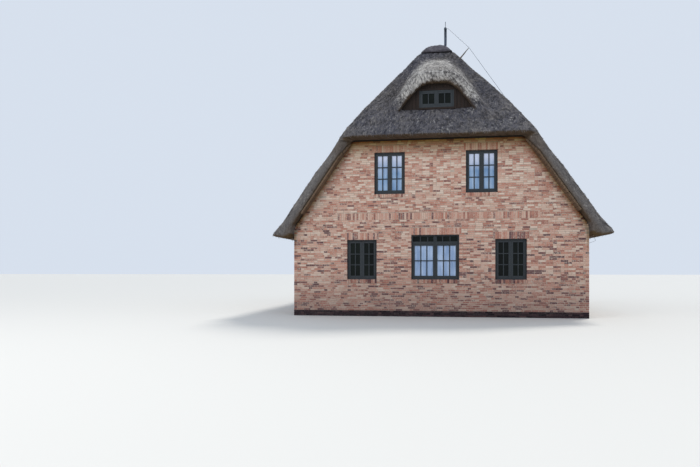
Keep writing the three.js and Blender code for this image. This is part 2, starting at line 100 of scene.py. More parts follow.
def addCamera():
    data = bpy.data.cameras.new("camera")
    data.lens = cameraValues["lens"]
    data.shift_y = cameraValues["lift"]
    data.clip_end = cameraValues["farEnd"]
    made = linkObject("camera", data)
    made.location = cameraValues["place"]
    made.rotation_euler = (math.radians(90), 0, math.radians(cameraValues["turn"]))
    bpy.context.scene.camera = made


def addLight(name, kind, power, colour, place, target):
    data = bpy.data.lights.new(name, kind)
    data.energy = power
    data.color = colour
    made = linkObject(name, data)
    made.location = place
    direction = Vector(target) - made.location
    made.rotation_euler = direction.to_track_quat("-Z", "Y").to_euler()
    return data


def addStage():
    v = stageValues
    shape = bmesh.new()
    bmesh.ops.create_grid(shape, x_segments=1, y_segments=1, size=v["floorSize"] / 2)
    mesh = bpy.data.meshes.new("floor")
    shape.to_mesh(mesh)
    shape.free()
    floor = linkObject("floor", mesh)
    floor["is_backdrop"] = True
    pale = bpy.data.materials.new("pale_floor")
    pale.use_nodes = True
    shader = pale.node_tree.nodes["Principled BSDF"]
    shader.inputs["Base Color"].default_value = (*v["floor"], 1)
    shader.inputs["Roughness"].default_value = 0.9
    mesh.materials.append(pale)
    world = bpy.data.worlds.new("studio")
    bpy.context.scene.world = world
    world.use_nodes = True
    sky = world.node_tree.nodes["Background"]
    sky.inputs["Color"].default_value = (*v["sky"], 1)
    sky.inputs["Strength"].default_value = v["skyStrength"]
    turn, height = (math.radians(v[key]) for key in ("sunTurn", "sunHeight"))
    place = (
        v["sunDistance"] * math.sin(turn) * math.cos(height),
        -v["sunDistance"] * math.cos(turn) * math.cos(height),
        v["sunDistance"] * math.sin(height),
    )
    sun = addLight("high_light", "SUN", v["sunStrength"], v["sunColour"], place, (0, 0, 0))
    sun.angle = math.radians(v["sunSpread"])
    fill = addLight("soft_fill", "AREA", v["fillPower"], v["fillColour"], v["fillPlace"], v["fillTarget"])
    fill.size = v["fillSize"]
    bpy.context.scene.view_settings.view_transform = "Standard"


addCamera()
addStage()
print("camera, floor and lights are in place")


# Materials


def paint(red, green, blue):
    # A colour as a screen shows it, 0 to 255, made linear
    linear = [((c / 255 + 0.055) / 1.055) ** 2.4 if c > 10 else c / 3295 for c in (red, green, blue)]
    return (*linear, 1.0)


class Signal:
    # An output of a node, which takes part in plain sums
    def __init__(self, look, socket):
        self.look = look
        self.socket = socket

    def __add__(self, other):
        return self.look.maths("ADD", self, other)

    __radd__ = __add__

    def __sub__(self, other):
        return self.look.maths("SUBTRACT", self, other)

    def __rsub__(self, other):
        return self.look.maths("SUBTRACT", other, self)

    def __mul__(self, other):
        return self.look.maths("MULTIPLY", self, other)

    __rmul__ = __mul__

    def __gt__(self, other):
        return self.look.maths("GREATER_THAN", self, other)


class Look:
    # A material, with one method for each kind of node that it needs
    def __init__(self, name, roughness=0.8, metallic=0.0, specular=0.5):
        self.material = bpy.data.materials.new(name)
        self.material.use_nodes = True
        self.tree = self.material.node_tree
        self.shader = self.tree.nodes["Principled BSDF"]
        self.shader.inputs["Roughness"].default_value = roughness
        self.shader.inputs["Metallic"].default_value = metallic
        self.shader.inputs["Specular IOR Level"].default_value = specular
        self.place = self.node("ShaderNodeTexCoord", {}, {}, "Object")

    def node(self, kind, settings, values, output=0):
        made = self.tree.nodes.new(kind)
        for key, value in settings.items():
            if key == "stops":
                for position, colour in value[2:]:
                    made.color_ramp.elements.new(position)
                for stop, (position, colour) in zip(made.color_ramp.elements, value):
                    stop.position = position
                for stop, (position, colour) in zip(made.color_ramp.elements, value):
                    stop.color = colour
            else:
                setattr(made, key, value)
        for key, value in values.items():
            if isinstance(value, Signal):
                self.tree.links.new(value.socket, made.inputs[key])
            else:
                made.inputs[key].default_value = value
        return Signal(self, made.outputs[output])

    def maths(self, operation, first, second):
        return self.node("ShaderNodeMath", {"operation": operation}, {0: first, 1: second})

    def mix(self, share, first, second, blend="MIX"):
        settings = {"data_type": "RGBA", "blend_type": blend}
        return self.node("ShaderNodeMix", settings, {0: share, 6: first, 7: second}, 2)

    def scaled(self, size, at=None):
        settings = {"operation": "MULTIPLY"}
        return self.node("ShaderNodeVectorMath", settings, {0: at or self.place, 1: size})

    def noise(self, scale, at=None, detail=3.0, roughness=0.55):
        values = {"Vector": at or self.place, "Scale": scale, "Detail": detail, "Roughness": roughness}
        return self.node("ShaderNodeTexNoise", {}, values)

    def spread(self, value, low, high, start=0.0, end=1.0):
        values = {"Value": value, "From Min": low, "From Max": high, "To Min": start, "To Max": end}
        return self.node("ShaderNodeMapRange", {}, values)

    def ramp(self, value, stops):
        return self.node("ShaderNodeValToRGB", {"stops": stops}, {"Fac": value})

    def attribute(self, name, output):
        return self.node("ShaderNodeAttribute", {"attribute_name": name}, {}, output)

    def channel(self, colour, index):
        return self.node("ShaderNodeSeparateColor", {}, {0: colour}, index)

    def channelOf(self, vector, index):
        return self.node("ShaderNodeSeparateXYZ", {}, {0: vector}, index)

    def bump(self, height, distance, strength=1.0):
        values = {"Height": height, "Distance": distance, "Strength": strength}
        return self.node("ShaderNodeBump", {}, values)

    def use(self, **links):
        for key, value in links.items():
            self.tree.links.new(value.socket, self.shader.inputs[key.replace("_", " ")])
        return self


brickColours = {
    "tones": [
        (0.00, paint(96, 66, 70)), (0.08, paint(126, 88, 85)), (0.18, paint(158, 107, 94)),
        (0.34, paint(186, 128, 109)), (0.55, paint(198, 151, 134)), (0.77, paint(206, 171, 152)),
        (1.00, paint(220, 198, 181)),
    ],
    "mortar": paint(196, 181, 166), "mortarDark": paint(150, 133, 119), "stain": paint(102, 76, 75),
    "lime": paint(212, 198, 182), "dampAndShade": 1.6, "eaveShade": (0.28, 0.21, 0.045, 1), "eaveReach": 0.8,
    "rakeShade": (0.42, 0.33, 0.19, 1), "rakeReach": 0.28, "shadeFade": 1.4, "sideFrom": 4.9,
    "sideShare": 0.5,
}


def shadedByRoof(look, colour):
    # Painted shade, browned, under the eaves and, over a shorter reach, along the raking boards
    x, z = (look.channelOf(look.place, axis) for axis in (0, 2))
    x = look.maths("ABSOLUTE", x, 0.0)
    side = x > brickColours["sideFrom"]
    eave = roofShape["hipEaveFoot"] - side * (roofShape["hipEaveFoot"] - roofShape["eaveFoot"]) - z
    rake = (slopeHeight(0, roofShape["layers"]) - z - x * roofShape["slope"]) * (1 / roofShape["slope"])
    shades = ((eave, "eave", 1 - side * brickColours["sideShare"]), (rake, "rake", 1 - side))
    for room, key, full in shades:
        share = look.spread(room, brickColours[key + "Reach"], 0.0)
        share = look.maths("POWER", share, brickColours["shadeFade"]) * full
        colour = look.mix(share, colour, brickColours[key + "Shade"], "MULTIPLY")
    return colour


def brickLook(name, tones, stain, lime, dampAndShade=0.0):
    # Fired clay: each brick's own tone, burnt specks and smears of lime, with painted shade under the
    # roof; low on the wall damp and painted shade darken it, and higher up the tone is painted lighter
    look = Look(name, 0.9, specular=0.25)
    fired = look.attribute("fired", "Color")
    tone = look.channel(fired, 0)
    own = look.channel(fired, 1)
    height = look.channelOf(look.place, 2)
    if dampAndShade:
        # Painted shade: the tone runs darker low on the wall and lighter higher up
        tone = tone + look.spread(height, 1.5, 5.0, -0.06, 0.12)
    grain = look.noise(38, detail=5, roughness=0.65)
    cloud = look.noise(9, detail=3)
    colour = look.ramp(tone + (cloud - 0.5) * 0.35 + (grain - 0.5) * 0.25, tones)
    dark = look.spread(look.noise(60, detail=4, roughness=0.7), 0.58, 0.72)
    colour = look.mix(dark * 0.5, colour, stain)
    smear = look.spread(look.noise(22, detail=4, roughness=0.6) + own * 0.14, 0.58, 0.72)
    colour = look.mix(smear * 0.55, colour, lime)
    colour = shadedByRoof(look, colour)
    if dampAndShade:
        # Damp near the ground, made darker still as painted shade low on the wall
        damp = 1 - look.spread(height + look.noise(1.3, detail=4) * 0.8, 0.3, dampAndShade + 0.5)
        colour = look.mix(damp * 0.6, colour, stain)
    face = grain * 0.6 + look.noise(150, detail=2) * 0.4 - dark * 0.3
    look.use(Base_Color=colour, Normal=look.bump(face, 0.006, 0.8))
    look.use(Roughness=look.spread(grain, 0.3, 0.7, 0.82, 0.98))
    return look


def mortarLook(name, base, dark):
    look = Look(name, 0.95, specular=0.2)
    sand = look.noise(120, detail=4, roughness=0.7)
    patch = look.noise(2.2, detail=4)
    colour = look.mix(look.spread(sand * 0.5 + patch * 0.5, 0.36, 0.62), dark, base)
    # Painted shade under the eaves and along the raking boards, as on the bricks
    colour = shadedByRoof(look, colour)
    look.use(Base_Color=colour, Normal=look.bump(sand + look.noise(30) * 0.5, 0.004))
    return look


thatchColours = {
    "reeds": [
        (0.00, paint(46, 43, 44)), (0.28, paint(78, 75, 76)), (0.50, paint(110, 106, 105)),
        (0.72, paint(142, 136, 131)), (1.00, paint(180, 173, 161)),
    ],
    "sunlitReeds": [
        (0.15, paint(146, 142, 141)), (0.5, paint(188, 184, 180)), (0.85, paint(228, 225, 219)),
    ],
    "damp": paint(70, 74, 92), "foot": paint(83, 62, 32), "hollow": paint(26, 25, 28),
}


def thatchLook():
    # Old reed: bundles of their own tone, painted shade in the hollows between, a painted sunlit patch,
    # brown cut ends darkened as painted shade
    look = Look("weathered_reed", 0.95, specular=0.15)
    lay = look.attribute("lay", "Vector")
    weather = look.attribute("weather", "Color")
    tone = look.channel(weather, 0)
    sunPatch = look.channel(weather, 1)
    foot = look.channel(weather, 2)
    damp = look.attribute("weather", "Alpha")
    fine = look.noise(1.0, look.scaled((70, 7, 25), lay), detail=3, roughness=0.7)
    coarse = look.noise(1.0, look.scaled((17, 4.5, 9), lay), detail=4, roughness=0.65)
    clump = look.noise(1.0, look.scaled((8, 4.0, 6), lay), detail=3, roughness=0.6)
    patch = look.noise(0.9, detail=5, roughness=0.6)
    speck = look.noise(12, detail=2, roughness=0.7)
    streak = look.noise(1.0, look.scaled((1.5, 0.3, 0.9), lay), detail=3)
    level = tone * 0.55 + fine * 0.3 + (coarse - 0.5) * 1.2 + patch * 0.25 + 0.055
    level = level + (streak - 0.5) * 0.5 + (speck - 0.5) * 0.5
    calm = look.spread(damp, 0.0, -1.0)
    ends = look.noise(85, detail=2, roughness=0.6)
    level = level + calm * ((0.44 - level) * 0.65 + (ends - 0.5) * 1.1)
    colour = look.ramp(level, thatchColours["reeds"])
    colour = look.mix(look.spread(patch + damp * 0.22, 0.5, 0.8) * 0.5, colour, thatchColours["damp"])
    # Painted sunlight: a pale speckled patch over the hood and the roof above it
    pale = sunPatch + (patch - 0.5) * 1.6 + (coarse - 0.5) * 2.0 + (speck - 0.5) * 1.6
    pale = look.spread(pale, 0.38, 1.1)
    colour = look.mix(pale * 0.9, colour, look.ramp(level, thatchColours["sunlitReeds"]))
    # Painted shade in the hollows between the bundles
    hollow = (1 - look.spread(clump + (fine - 0.5) * 0.6, 0.37, 0.46)) * (1 - calm * 0.7)
    colour = look.mix(hollow * 0.5, colour, thatchColours["hollow"])
    # Brown cut ends, with painted shade where the thatch faces down and under the overhangs
    colour = look.mix(foot * 0.75, colour, thatchColours["foot"])
    height = fine * 0.5 + coarse * 1.2 + clump * 1.2 - hollow * 0.4 + calm * ends * 0.5
    look.use(Base_Color=colour, Normal=look.bump(height, 0.035, 0.9))
    return look


capColours = {
    "turf": [
        (0.30, paint(60, 58, 63)), (0.46, paint(98, 95, 102)), (0.60, paint(130, 127, 133)),
        (0.78, paint(166, 162, 162)),
    ],
    "moss": paint(84, 86, 62), "foot": paint(44, 41, 44), "shadowTop": 10.0, "crownFrom": 10.12,
}


def capLook():
    look = Look("ridge_turf", 0.96, specular=0.12)
    clump = look.noise(7, detail=5, roughness=0.7)
    fine = look.noise(55, detail=4, roughness=0.7)
    colour = look.ramp(clump * 0.6 + fine * 0.4, capColours["turf"])
    moss = look.spread(look.noise(2.4, detail=4), 0.56, 0.68)
    colour = look.mix(moss * 0.25, colour, capColours["moss"])
    # Painted shadow: a dark band along the cap's lower edge, the crown above it lighter
    height = look.channelOf(look.place, 2)
    crown = look.spread(height, capColours["shadowTop"], capColours["crownFrom"])
    colour = look.mix(1 - crown, colour, capColours["foot"])
    look.use(Base_Color=colour, Normal=look.bump(clump + fine * 0.6, 0.05))
    return look


def woodLook(name, light, dark, along, boards=0.0, roughness=0.75, gloss=0.3):
    # Grain drawn out along one axis, with grooves between boards where a width is given
    look = Look(name, roughness, specular=gloss)
    stretch = [30.0, 30.0, 30.0]
    stretch[along] = 1.6
    grain = look.noise(1.0, look.scaled(tuple(stretch)), detail=5, roughness=0.65)
    patch = look.noise(1.4, detail=3)
    colour = look.mix(look.spread(grain * 0.7 + patch * 0.3, 0.35, 0.65), dark, light)
    height = grain * 0.25
    if boards:
        side = look.channelOf(look.place, 1 if along == 0 else 0)
        groove = look.maths("PINGPONG", side, boards / 2) * (2 / boards)
        edge = look.spread(groove, 0.0, 0.07)
        colour = look.mix(1 - edge, colour, (*[c * 0.25 for c in dark[:3]], 1))
        height = height + edge
    look.use(Base_Color=colour, Normal=look.bump(height, 0.006))
    look.use(Roughness=look.spread(grain, 0.3, 0.7, roughness - 0.1, roughness + 0.1))
    return look


def paintedLook(name, colour, roughness=0.42):
    # Painted timber: brush strokes, a little dust and faded places
    look = Look(name, roughness, specular=0.45)
    stroke = look.noise(1.0, look.scaled((90, 90, 9)), detail=3)
    fade = look.noise(3.0, detail=4)
    faded = (*[c * 1.4 + 0.005 for c in colour[:3]], 1)
    shaded = look.mix(look.spread(fade, 0.4, 0.75) * 0.6, colour, faded)
    dust = look.spread(look.noise(26, detail=4), 0.55, 0.8)
    look.use(Base_Color=look.mix(dust * 0.15, shaded, paint(120, 118, 112)))
    look.use(Roughness=look.spread(fade + stroke * 0.3, 0.4, 0.9, roughness - 0.1, roughness + 0.2))
    look.use(Normal=look.bump(stroke, 0.0015, 0.6))
    return look


def glassLook(name, deep, pale, folds, specular, sky=None):
    # Dark panes, painted shade of the unlit rooms behind, or pale blue panes of net curtains in upright
    # folds with a painted sky reflection, lighter higher up where a sky is given
    look = Look(name, 0.06, specular=specular)
    fold = look.noise(1.0, look.scaled((folds, folds, 0.8)), detail=2)
    cloud = look.noise(1.1, detail=2)
    colour = look.mix(look.spread(fold * 0.5 + cloud * 0.5, 0.36, 0.64), deep, pale)
    if sky:
        # Painted reflection of the sky, lighter higher up the pane
        rise = look.channelOf(look.place, 2) + (cloud - 0.5) * 0.8
        colour = look.mix(look.spread(rise, *sky[:2]), colour, sky[2])
    ripple = look.noise(5, detail=1)
    look.use(Base_Color=colour, Normal=look.bump(ripple, 0.003, 0.35))
    look.use(Roughness=look.spread(look.noise(40, detail=3), 0.4, 0.8, 0.05, 0.16))
    return look


def metalLook(name, base, dull, roughness):
    look = Look(name, roughness, 0.85)
    stain = look.noise(14, detail=5, roughness=0.65)
    look.use(Base_Color=look.mix(look.spread(stain, 0.42, 0.62), base, dull))
    look.use(Roughness=look.spread(stain, 0.3, 0.7, roughness - 0.12, roughness + 0.2))
    look.use(Normal=look.bump(look.noise(90, detail=3), 0.001, 0.5))
    return look


def stoneLook(name, light, dark):
    look = Look(name, 0.9, specular=0.25)
    speck = look.noise(160, detail=4, roughness=0.75)
    cloud = look.noise(4.5, detail=5)
    colour = look.mix(look.spread(speck * 0.55 + cloud * 0.45, 0.38, 0.6), dark, light)
    look.use(Base_Color=colour, Normal=look.bump(speck + cloud * 0.6, 0.003))
    return look


plinthTones = [
    (0.0, paint(31, 22, 28)), (0.4, paint(46, 33, 39)), (0.75, paint(61, 45, 48)),
    (1.0, paint(84, 62, 62)),
]
anthracite = paint(33, 40, 45)
wallColours = [brickColours[key] for key in ("tones", "stain", "lime", "dampAndShade")]
looks = {
    "brick": brickLook("rustic_brick", *wallColours),
    "plinthBrick": brickLook("plinth_brick", plinthTones, paint(26, 20, 24), paint(84, 78, 76)),
    "mortar": mortarLook("pale_mortar", brickColours["mortar"], brickColours["mortarDark"]),
    "plinthMortar": mortarLook("plinth_mortar", paint(70, 61, 62), paint(45, 38, 40)),
    "concrete": stoneLook("floor_concrete", paint(168, 164, 156), paint(128, 124, 118)),
    "thatch": thatchLook(),
    "cap": capLook(),
    "roofBoards": woodLook("roof_boards", paint(104, 82, 56), paint(58, 43, 28), 0, boards=0.14),
    "floorBoards": woodLook("floor_boards", paint(158, 122, 84), paint(104, 74, 46), 1, boards=0.14),
    # Dark wood, made almost black as painted shade under the eyebrow's hood
    "eyebrowBoards": woodLook("eyebrow_boards", paint(52, 40, 34), paint(24, 18, 16), 2),
    "soffitBoards": woodLook("soffit_boards", paint(122, 99, 78), paint(72, 57, 43), 1),
    "post": woodLook("grey_post", paint(126, 116, 104), paint(74, 66, 58), 2),
    "frame": paintedLook("anthracite_paint", anthracite),
    "door": paintedLook("door_paint", paint(44, 56, 60), 0.38),
    "darkGlass": glassLook("dark_panes", paint(6, 8, 8), paint(22, 28, 23), 3.0, 0.13),
    "veiledSkyGlass": glassLook("veiled_panes", paint(96, 134, 178), paint(172, 196, 222), 7.0, 0.35,
                             (4.9, 5.35, paint(204, 212, 234))),
    "curtainReflectGlass": glassLook("curtained_panes", paint(122, 150, 190), paint(182, 202, 230), 7.0,
                              0.35),
    "metal": metalLook("dull_metal", paint(84, 92, 106), paint(58, 64, 76), 0.45),
    "handle": metalLook("brushed_handle", paint(190, 188, 182), paint(150, 148, 142), 0.3),
    "stone": stoneLook("step_stone", paint(156, 150, 142), paint(108, 104, 100)),
}
print("materials are made")


# Meshes: one small shape from an operator, copied many times by arrays


def finishPiece(name, mesh, look, nodes=()):
    made = linkObject(name, mesh)
    mesh.materials.append(look.material)
    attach(made, "root")
    if nodes:
        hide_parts(*nodes)
    return made


def addBlocks(name, points, look, nodes=()):
    # A piece of chamfered blocks, as block by point by axis
    return finishPiece(name, joinCopies(name, points, blockShape[1]), look, nodes)


def giveAttribute(mesh, name, kind, values):
    layer = mesh.attributes.new(name, kind, "POINT")
    key = "vector" if kind == "FLOAT_VECTOR" else "color"
    layer.data.foreach_set(key, np.asarray(values, np.float32).ravel())


templateShare = 0.1


def pointsAndFaces(shape):
    bmesh.ops.recalc_face_normals(shape, faces=shape.faces)
    points = np.array([v.co[:] for v in shape.verts])
    faces = [[v.index for v in f.verts] for f in shape.faces]
    shape.free()
    return points, faces


def bevelEdges(shape, edges, width, rounds=1):
    bmesh.ops.bevel(
        shape, geom=edges, offset=width, offset_type="OFFSET", affect="EDGES", segments=rounds,
        profile=0.5, material=-1,
    )


def blockTemplate(allEdges):
    # A block of size 1 with a chamfer of a tenth, round its front face only or on all edges
    shape = bmesh.new()
    bmesh.ops.create_cube(shape, size=1)
    edges = [e for e in shape.edges if allEdges or all(v.co.y < 0 for v in e.verts)]
    bevelEdges(shape, edges, templateShare)
    return pointsAndFaces(shape)


def reedTemplate():
    # A three-sided spike with its butt at the origin
    shape = bmesh.new()
    bmesh.ops.create_circle(shape, cap_ends=True, segments=3, radius=1)
    bmesh.ops.poke(shape, faces=shape.faces[:], offset=1)
    bmesh.ops.contextual_create(shape, geom=[e for e in shape.edges if e.is_boundary])
    points, faces = pointsAndFaces(shape)
    points[:, 2] /= np.abs(points[:, 2]).max()
    return points, faces


def joinCopies(name, points, faces):
    # Every copy's points, as copy by point by axis, joined into one mesh
    count, size = points.shape[:2]
    starts = (np.arange(count) * size)[:, None, None]
    joined = []
    for sides in sorted({len(face) for face in faces}):
        group = np.array([face for face in faces if len(face) == sides])
        joined += (group[None] + starts).reshape(-1, sides).tolist()
    mesh = bpy.data.meshes.new(name)
    mesh.from_pydata(points.reshape(-1, 3).tolist(), [], joined)
    return mesh


def stretchBlocks(template, sizes, chamfer):
    signs = np.sign(template)[None]
    inset = ((0.5 - np.abs(template)) / templateShare)[None]
    return signs * (sizes[:, None, :] / 2 - inset * chamfer)


def turnPoints(points, degrees):
    cosine, sine = math.cos(math.radians(degrees)), math.sin(math.radians(degrees))
    return points @ np.array([[cosine, -sine, 0], [sine, cosine, 0], [0, 0, 1]]).T


frontTemplate = blockTemplate(False)
blockShape = blockTemplate(True)
reedShape = reedTemplate()


# Brickwork: every wall is laid in its own flat frame, along, in from the face, and up

bond = {
    "pitch": 0.0667, "joint": 0.011, "stretcher": 0.228, "header": 0.108, "headers": 0.42,
    "startCut": (0.45, 1.0), "halfCut": (0.42, 0.58), "leastPiece": 0.07, "longPiece": 0.03,
    "leastHeight": 0.025, "proud": 0.005, "mostProud": 0.0095, "buried": 0.016, "reveal": 0.103,
    "lip": 0.003, "chamfer": 0.004, "unevenness": 0.0016, "liftSpread": 0.0012, "faceSpread": 0.0018,
    "seed": 11, "lintel": 0.24, "sill": 0.125, "sillProud": 0.034, "sillTop": 0.004, "sillTilt": 8.0,
    "sillFrom": 0.5, "bandLow": 3.335, "bandHalf": 3.42, "standingTone": 0.75, "underRoof": 0.02,
    "plinthTop": 0.2, "plinthLift": 0.006, "plinthProud": 0.008, "plinthCourses": 3,
    "plinthSeeds": (5, 3),
}
# Places nearer than this are one
same = 1e-6
nodeNames = sorted(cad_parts)
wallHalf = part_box("plinth")[1].x
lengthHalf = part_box("plinth")[1].y


def wallWidth(side):
    return (wallHalf, lengthHalf) if side in ("front", "back") else (lengthHalf, wallHalf)


def flatBox(node, turn):
    # A node's box in the frame of the wall with this turn
    return turnPoints(np.array([corner[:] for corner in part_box(node)]), -turn)


def holesIn(side):
    # Openings of a wall as start, end, bottom, top in the wall's own frame
    found = []
    for name in nodeNames:
        inWall = name.startswith(side + "_") or (name == "door_frame" and side == "right")
        if inWall and name.endswith("_frame"):
            flat = flatBox(name, wallTurns[side])
            found.append((flat[:, 0].min(), flat[:, 0].max(), flat[:, 2].min(), flat[:, 2].max()))
    return found


def freeSpans(low, high, left, right, blocked):
    # Stretches of a course that stay free, as start, end, bottom, top
    ends = [u for item in blocked for u in item[:2] if left < u < right]
    cuts = sorted({left, right, *ends})
    spans = []
    for start, end in zip(cuts, cuts[1:]):
        middle = (start + end) / 2
        bottom, top = low, high
        for left0, right0, low0, high0 in blocked:
            if left0 < middle < right0 and low0 < top and high0 > bottom:
                if low0 <= bottom:
                    bottom = max(bottom, high0)
                else:
                    top = min(top, low0)
        if top - bottom < bond["leastHeight"]:
            continue
        if spans and abs(spans[-1][1] - start) < same and spans[-1][2:] == (bottom, top):
            spans[-1] = (spans[-1][0], end, bottom, top)
        else:
            spans.append((start, end, bottom, top))
    return spans


def layCourse(draw, start, end, deepStart):
    # Cuts a stretch of a course into bricks of a wild bond, as start and end with their joints
    bricks = []
    at = start
    while end - at > 0.001:
        left = end - at
        header = draw.random() < bond["headers"]
        length = (bond["header"] if header else bond["stretcher"]) + bond["joint"]
        if at == start and not deepStart:
            length *= draw.uniform(*bond["startCut"])
        if left < length + bond["leastPiece"]:
            length = left
            if left > bond["stretcher"] + bond["longPiece"]:
                length = left * draw.uniform(*bond["halfCut"])
        bricks.append((at, at + length))
        at += length
    return bricks


def uprights(start, width, count):
    # A row of bricks on end, as start and end without their joints
    step, joint = width / count, bond["joint"]
    return [(start + i * step + joint / 2, start + i * step + step - joint / 2) for i in range(count)]


def wallBricks(side):
    # Every brick of a wall as centre, size and tilt about the wall's length
    draw = np.random.default_rng(bond["seed"] + wallTurns[side] % 7)
    half, face = wallWidth(side)
    gable = side in ("front", "back")
    holes = holesIn(side)
    joint, pitch, proud = bond["joint"], bond["pitch"], bond["proud"]
    others = []
    blocks = []

    def addBlock(start, end, low, high, front, back, tilt=0.0):
        size = (end - start, back - front, high - low)
        centre = ((start + end) / 2, (front + back) / 2 - face, (low + high) / 2)
        blocks.append((centre, size, tilt))

    def atHole(at, edge, bottom, top):
        # Whether an opening's left edge, 0, or right edge, 1, lies here
        return any(abs(hole[edge] - at) < same and hole[2] < top and hole[3] > bottom for hole in holes)

    for left, right, low, high in holes:
        top = high + bond["lintel"]
        others.append((left - pitch, right + pitch, high, top))
        row = uprights(left - pitch, right - left + 2 * pitch, round((right - left) / pitch) + 2)
        for i, ends in enumerate(row):
            deep = 0 < i < len(row) - 1
            back = bond["reveal"] if deep else bond["buried"]
            bottom = high - bond["lip"] if deep else high + joint / 2
            addBlock(*ends, bottom, top - joint / 2, -proud, back)
        if low > bond["sillFrom"]:
            bottom, top = low - bond["sill"], low + bond["sillTop"]
            others.append((left, right, bottom, low))
            for ends in uprights(left, right - left, round((right - left) / pitch)):
                addBlock(*ends, bottom + joint, top, -bond["sillProud"], bond["reveal"], bond["sillTilt"])
    if gable:
        low, high, reach = bond["bandLow"], bond["bandLow"] + bond["lintel"], bond["bandHalf"]
        others.append((-reach, reach, low, high))
        for ends in uprights(-reach, 2 * reach, round(2 * reach / pitch)):
            addBlock(*ends, low + joint / 2, high - joint / 2, -proud, bond["buried"])
    blocked = [tuple(hole) for hole in holes] + others
    roofTop = roofShape["hipEaveFoot"] if gable else roofShape["eaveFoot"]
    course = 0
    low = bond["plinthTop"]
    while low < roofTop:
        high = low + pitch
        own = (course % 2 == 0) == gable
        reach = half
        if gable:
            reach = min(half, slopeReach(low, roofShape["layers"]) + bond["underRoof"])
        whole = reach == half
        edge = half + proud if own else half - bond["header"] + proud - joint / 2
        if not whole:
            edge = reach
        for start, end, bottom, top in freeSpans(low, high, -edge, edge, blocked):
            cornerStart = whole and own and abs(start + edge) < same
            cornerEnd = whole and own and abs(end - edge) < same
            deepStart = cornerStart or atHole(start, 1, bottom, top)
            deepEnd = cornerEnd or atHole(end, 0, bottom, top)
            row = layCourse(draw, start, end, deepStart)
            for i, (a, b) in enumerate(row):
                a += joint / 2
                b -= joint / 2
                back = bond["buried"]
                if i == 0 and deepStart:
                    a = start if cornerStart else start - bond["lip"]
                    back = bond["reveal"]
                if i == len(row) - 1 and deepEnd:
                    b = end if cornerEnd else end + bond["lip"]
                    back = bond["reveal"]
                lift = draw.normal(0, bond["liftSpread"])
                front = max(-proud + draw.normal(0, bond["faceSpread"]), -bond["mostProud"])
                addBlock(a, b, bottom + joint / 2 + lift, top - joint / 2 + lift, front, back)
        low = high
        course += 1
    return blocks


def plinthBricks():
    draw = np.random.default_rng(bond["seed"])
    found = {side: [] for side in wallTurns}
    for side in wallTurns:
        half, face = wallWidth(side)
        proud = bond["plinthProud"]
        for course in range(bond["plinthCourses"]):
            own = (course % 2 == 1) == (side in ("front", "back"))
            edge = half + proud if own else half - bond["header"] + proud - bond["joint"] / 2
            low = course * bond["pitch"] + bond["plinthLift"]
            row = layCourse(draw, -edge, edge, own)
            for i, (a, b) in enumerate(row):
                corner = own and i in (0, len(row) - 1)
                a = a if corner and i == 0 else a + bond["joint"] / 2
                b = b if corner and i else b - bond["joint"] / 2
                back = bond["reveal"] if corner else bond["buried"]
                size = (b - a, back + proud, bond["pitch"] - bond["joint"])
                centre = ((a + b) / 2, (back - proud) / 2 - face, low + size[2] / 2)
                found[side].append((centre, size, 0.0))
    return found


def brickPoints(blocks, side, seed):
    # Points of laid bricks, a little uneven, turned into their wall
    draw = np.random.default_rng(seed)
    centres = np.array([block[0] for block in blocks])
    sizes = np.array([block[1] for block in blocks])
    tilts = np.radians(np.array([block[2] for block in blocks]))[:, None]
    points = stretchBlocks(frontTemplate[0], sizes, bond["chamfer"])
    points += draw.normal(0, bond["unevenness"], points.shape) * [1, 0.35, 1]
    y, z = points[..., 1].copy(), points[..., 2].copy()
    points[..., 1] = y * np.cos(tilts) - z * np.sin(tilts)
    points[..., 2] = z * np.cos(tilts) + y * np.sin(tilts)
    return turnPoints(points + centres[:, None, :], wallTurns[side])


def addBricks():
    for side in wallTurns:
        blocks = wallBricks(side)
        points = brickPoints(blocks, side, bond["seed"])
        mesh = joinCopies(side + "_bricks", points, frontTemplate[1])
        sizes = np.array([block[1] for block in blocks])
        standing = (sizes[:, 2] > sizes[:, 0]) & (sizes[:, 2] > bond["header"])
        paintBricks(mesh, len(blocks), bond["seed"] + len(side), standing)
        finishPiece(side + "_bricks", mesh, looks["brick"])
        print(side, "wall has", len(blocks), "bricks")
    rows = plinthBricks()
    laying, painting = bond["plinthSeeds"]
    points = np.concatenate([brickPoints(rows[side], side, laying) for side in wallTurns])
    mesh = joinCopies("plinth_bricks", points, frontTemplate[1])
    paintBricks(mesh, len(points), painting)
    finishPiece("plinth_bricks", mesh, looks["plinthBrick"])


def paintBricks(mesh, count, seed, standing=()):
    # Each brick's own firing, as tone and mortar smears; the standing ones are redder
    draw = np.random.default_rng(seed)
    values = np.ones((count, 1, 4))
    values[:, 0, :2] = draw.random((count, 2))
    if len(standing):
        values[standing, 0, 0] *= bond["standingTone"]
    size = len(mesh.vertices) // count
    giveAttribute(mesh, "fired", "FLOAT_COLOR", np.repeat(values, size, axis=1))


addBricks()
print("bricks are laid")


# Thatch: the slopes and the eyebrow's hood as one soft body, with reeds over it

